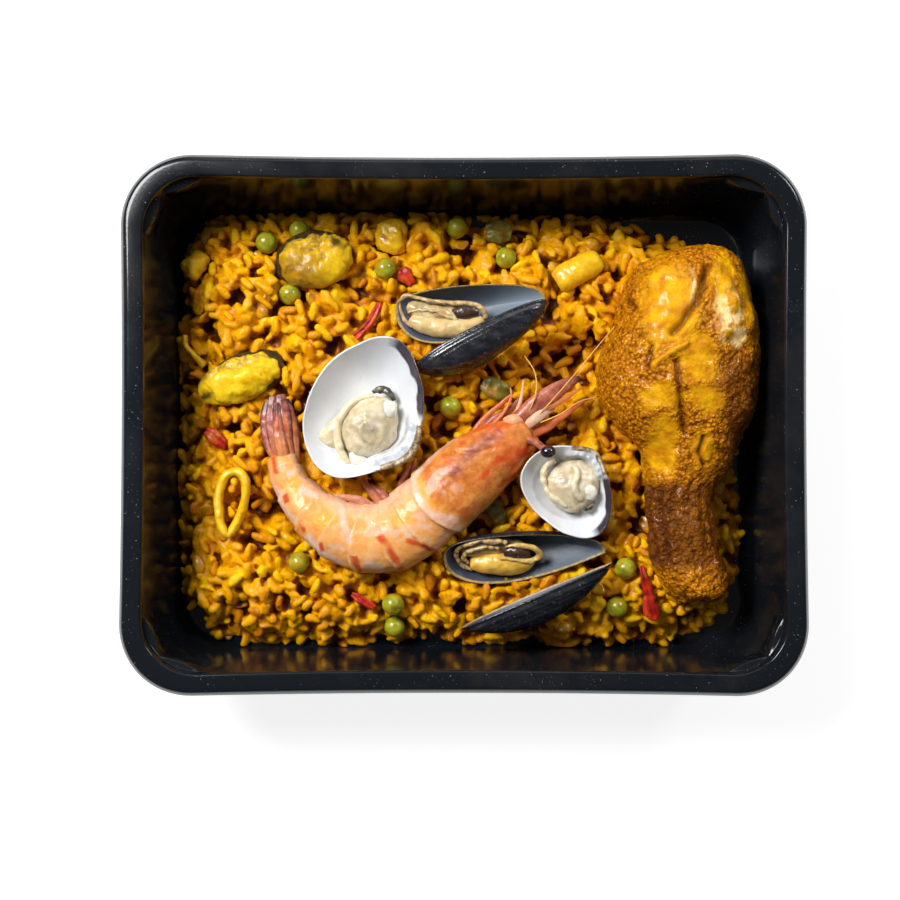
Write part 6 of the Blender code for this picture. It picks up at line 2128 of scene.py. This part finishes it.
class PAELLA_PG_drumstick(bpy.types.PropertyGroup):
    skin_colour: colour("Skin", "Colour of most of the roast skin", (0.52, 0.17, 0.002))
    browned_colour: colour("Browned", "Colour of its darkest spots", (0.2, 0.05, 0.001))
    bare_colour: colour("Bare skin", "Colour of the smooth yellow stretches", (0.8, 0.4, 0.004))
    skin_gloss: gloss("How dull the skin is", 0.24)


class PAELLA_PG_prawn(bpy.types.PropertyGroup):
    shell_colour: colour("Shell", "Colour of most of the shell", (0.85, 0.36, 0.09))
    band_colour: colour("Bands", "Colour of the red bands", (0.6, 0.06, 0.012))
    shell_gloss: gloss("How dull the shell is", 0.24)


class PAELLA_PG_clams(bpy.types.PropertyGroup):
    shell_colour: colour("Shell", "Colour inside the shells", (0.79, 0.8, 0.82))
    stain_colour: colour("Stain", "Colour of the dark edge inside the shells", (0.035, 0.024, 0.04))
    meat_colour: colour("Meat", "Colour of most of the meat", (0.62, 0.5, 0.31))


class PAELLA_PG_mussels(bpy.types.PropertyGroup):
    nacre_colour: colour("Nacre", "Colour inside the shells", (0.1, 0.13, 0.165))
    rim_colour: colour("Rim", "Colour of the thin line along each rim", (0.5, 0.34, 0.12))
    meat_colour: colour("Meat", "Colour of the pale meat", (0.68, 0.5, 0.24))


class PAELLA_PG_toppings(bpy.types.PropertyGroup):
    sauced_colour: colour("Sauced mussels", "Colour of the shelled mussels in sauce", (0.84, 0.53, 0.006))
    squid_colour: colour("Squid", "Colour of the squid", (0.8, 0.44, 0.01))
    red_colour: colour("Red pepper", "Colour of the red pepper", (0.42, 0.014, 0.004))
    green_colour: colour("Green pepper", "Colour of the green pepper", (0.14, 0.115, 0.01))
    pea_colour: colour("Peas", "Colour of the peas", (0.32, 0.33, 0.014))
    seed: seed(5)


class PAELLA_PG_stage(bpy.types.PropertyGroup):
    floor_colour: colour("Floor", "Colour of the plain floor", (0.35, 0.35, 0.35))
    key_power: power("Window", "Power of the large light on the left", 10.4)
    fill_power: power("Fill", "Power of the light on the right", 2.1)
    back_power: power("Back", "Power of the light behind", 2.2)
    world_light: FloatProperty(
        name="Surroundings", description="Strength of the even white light all round", default=0.13, min=0.0
    )


class PAELLA_OT_tray(bpy.types.Operator):
    """Build the black meal tray"""

    bl_idname = "paella.tray"
    bl_label = "Tray"

    def execute(self, context):
        make_tray(context.scene.paella_tray)
        return {"FINISHED"}


class PAELLA_OT_rice(bpy.types.Operator):
    """Heap saffron rice, onion and sauce around the toppings"""

    bl_idname = "paella.rice"
    bl_label = "Rice"

    def execute(self, context):
        make_rice(context.scene.paella_rice)
        return {"FINISHED"}


class PAELLA_OT_drumstick(bpy.types.Operator):
    """Build the roast drumstick"""

    bl_idname = "paella.drumstick"
    bl_label = "Drumstick"

    def execute(self, context):
        make_drumstick(context.scene.paella_drumstick)
        return {"FINISHED"}


class PAELLA_OT_prawn(bpy.types.Operator):
    """Build the whole prawn with its limbs and eye"""

    bl_idname = "paella.prawn"
    bl_label = "Prawn"

    def execute(self, context):
        make_prawn(context.scene.paella_prawn)
        return {"FINISHED"}


class PAELLA_OT_clams(bpy.types.Operator):
    """Build the two clam shells and their meat"""

    bl_idname = "paella.clams"
    bl_label = "Clams"

    def execute(self, context):
        make_clams(context.scene.paella_clams)
        return {"FINISHED"}


class PAELLA_OT_mussels(bpy.types.Operator):
    """Build the two open mussels and their meat"""

    bl_idname = "paella.mussels"
    bl_label = "Mussels"

    def execute(self, context):
        make_mussels(context.scene.paella_mussels)
        return {"FINISHED"}


class PAELLA_OT_toppings(bpy.types.Operator):
    """Build the sauced mussels, squid, peppers and peas"""

    bl_idname = "paella.toppings"
    bl_label = "Small toppings"

    def execute(self, context):
        make_toppings(context.scene.paella_toppings)
        return {"FINISHED"}


class PAELLA_OT_stage(bpy.types.Operator):
    """Set the floor, the lights and the camera"""

    bl_idname = "paella.stage"
    bl_label = "Stage"

    def execute(self, context):
        make_stage(context.scene.paella_stage)
        return {"FINISHED"}


# Each step's settings, in the order in which the steps run
GROUPS = {
    "tray": PAELLA_PG_tray,
    "rice": PAELLA_PG_rice,
    "drumstick": PAELLA_PG_drumstick,
    "prawn": PAELLA_PG_prawn,
    "clams": PAELLA_PG_clams,
    "mussels": PAELLA_PG_mussels,
    "toppings": PAELLA_PG_toppings,
    "stage": PAELLA_PG_stage,
}


class PAELLA_PT_sidebar(bpy.types.Panel):
    """Settings and steps of the paella"""

    bl_label = "Paella"
    bl_space_type = "VIEW_3D"
    bl_region_type = "UI"
    bl_category = "Paella"

    def draw(self, context):
        for step in GROUPS:
            box = self.layout.box()
            box.operator("paella." + step)
            group = getattr(context.scene, "paella_" + step)
            for name in group.bl_rna.properties.keys():
                if name not in ("rna_type", "name"):
                    box.prop(group, name)


CLASSES = (
    *GROUPS.values(),
    PAELLA_OT_tray,
    PAELLA_OT_rice,
    PAELLA_OT_drumstick,
    PAELLA_OT_prawn,
    PAELLA_OT_clams,
    PAELLA_OT_mussels,
    PAELLA_OT_toppings,
    PAELLA_OT_stage,
    PAELLA_PT_sidebar,
)


def register():
    for cls in CLASSES:
        bpy.utils.register_class(cls)
    for name, group in GROUPS.items():
        setattr(bpy.types.Scene, "paella_" + name, PointerProperty(type=group))


def unregister():
    for name in GROUPS:
        delattr(bpy.types.Scene, "paella_" + name)
    for cls in reversed(CLASSES):
        bpy.utils.unregister_class(cls)


def main():
    register()
    for step in GROUPS:
        getattr(bpy.ops.paella, step)()
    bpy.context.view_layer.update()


if __name__ == "__main__":
    main()
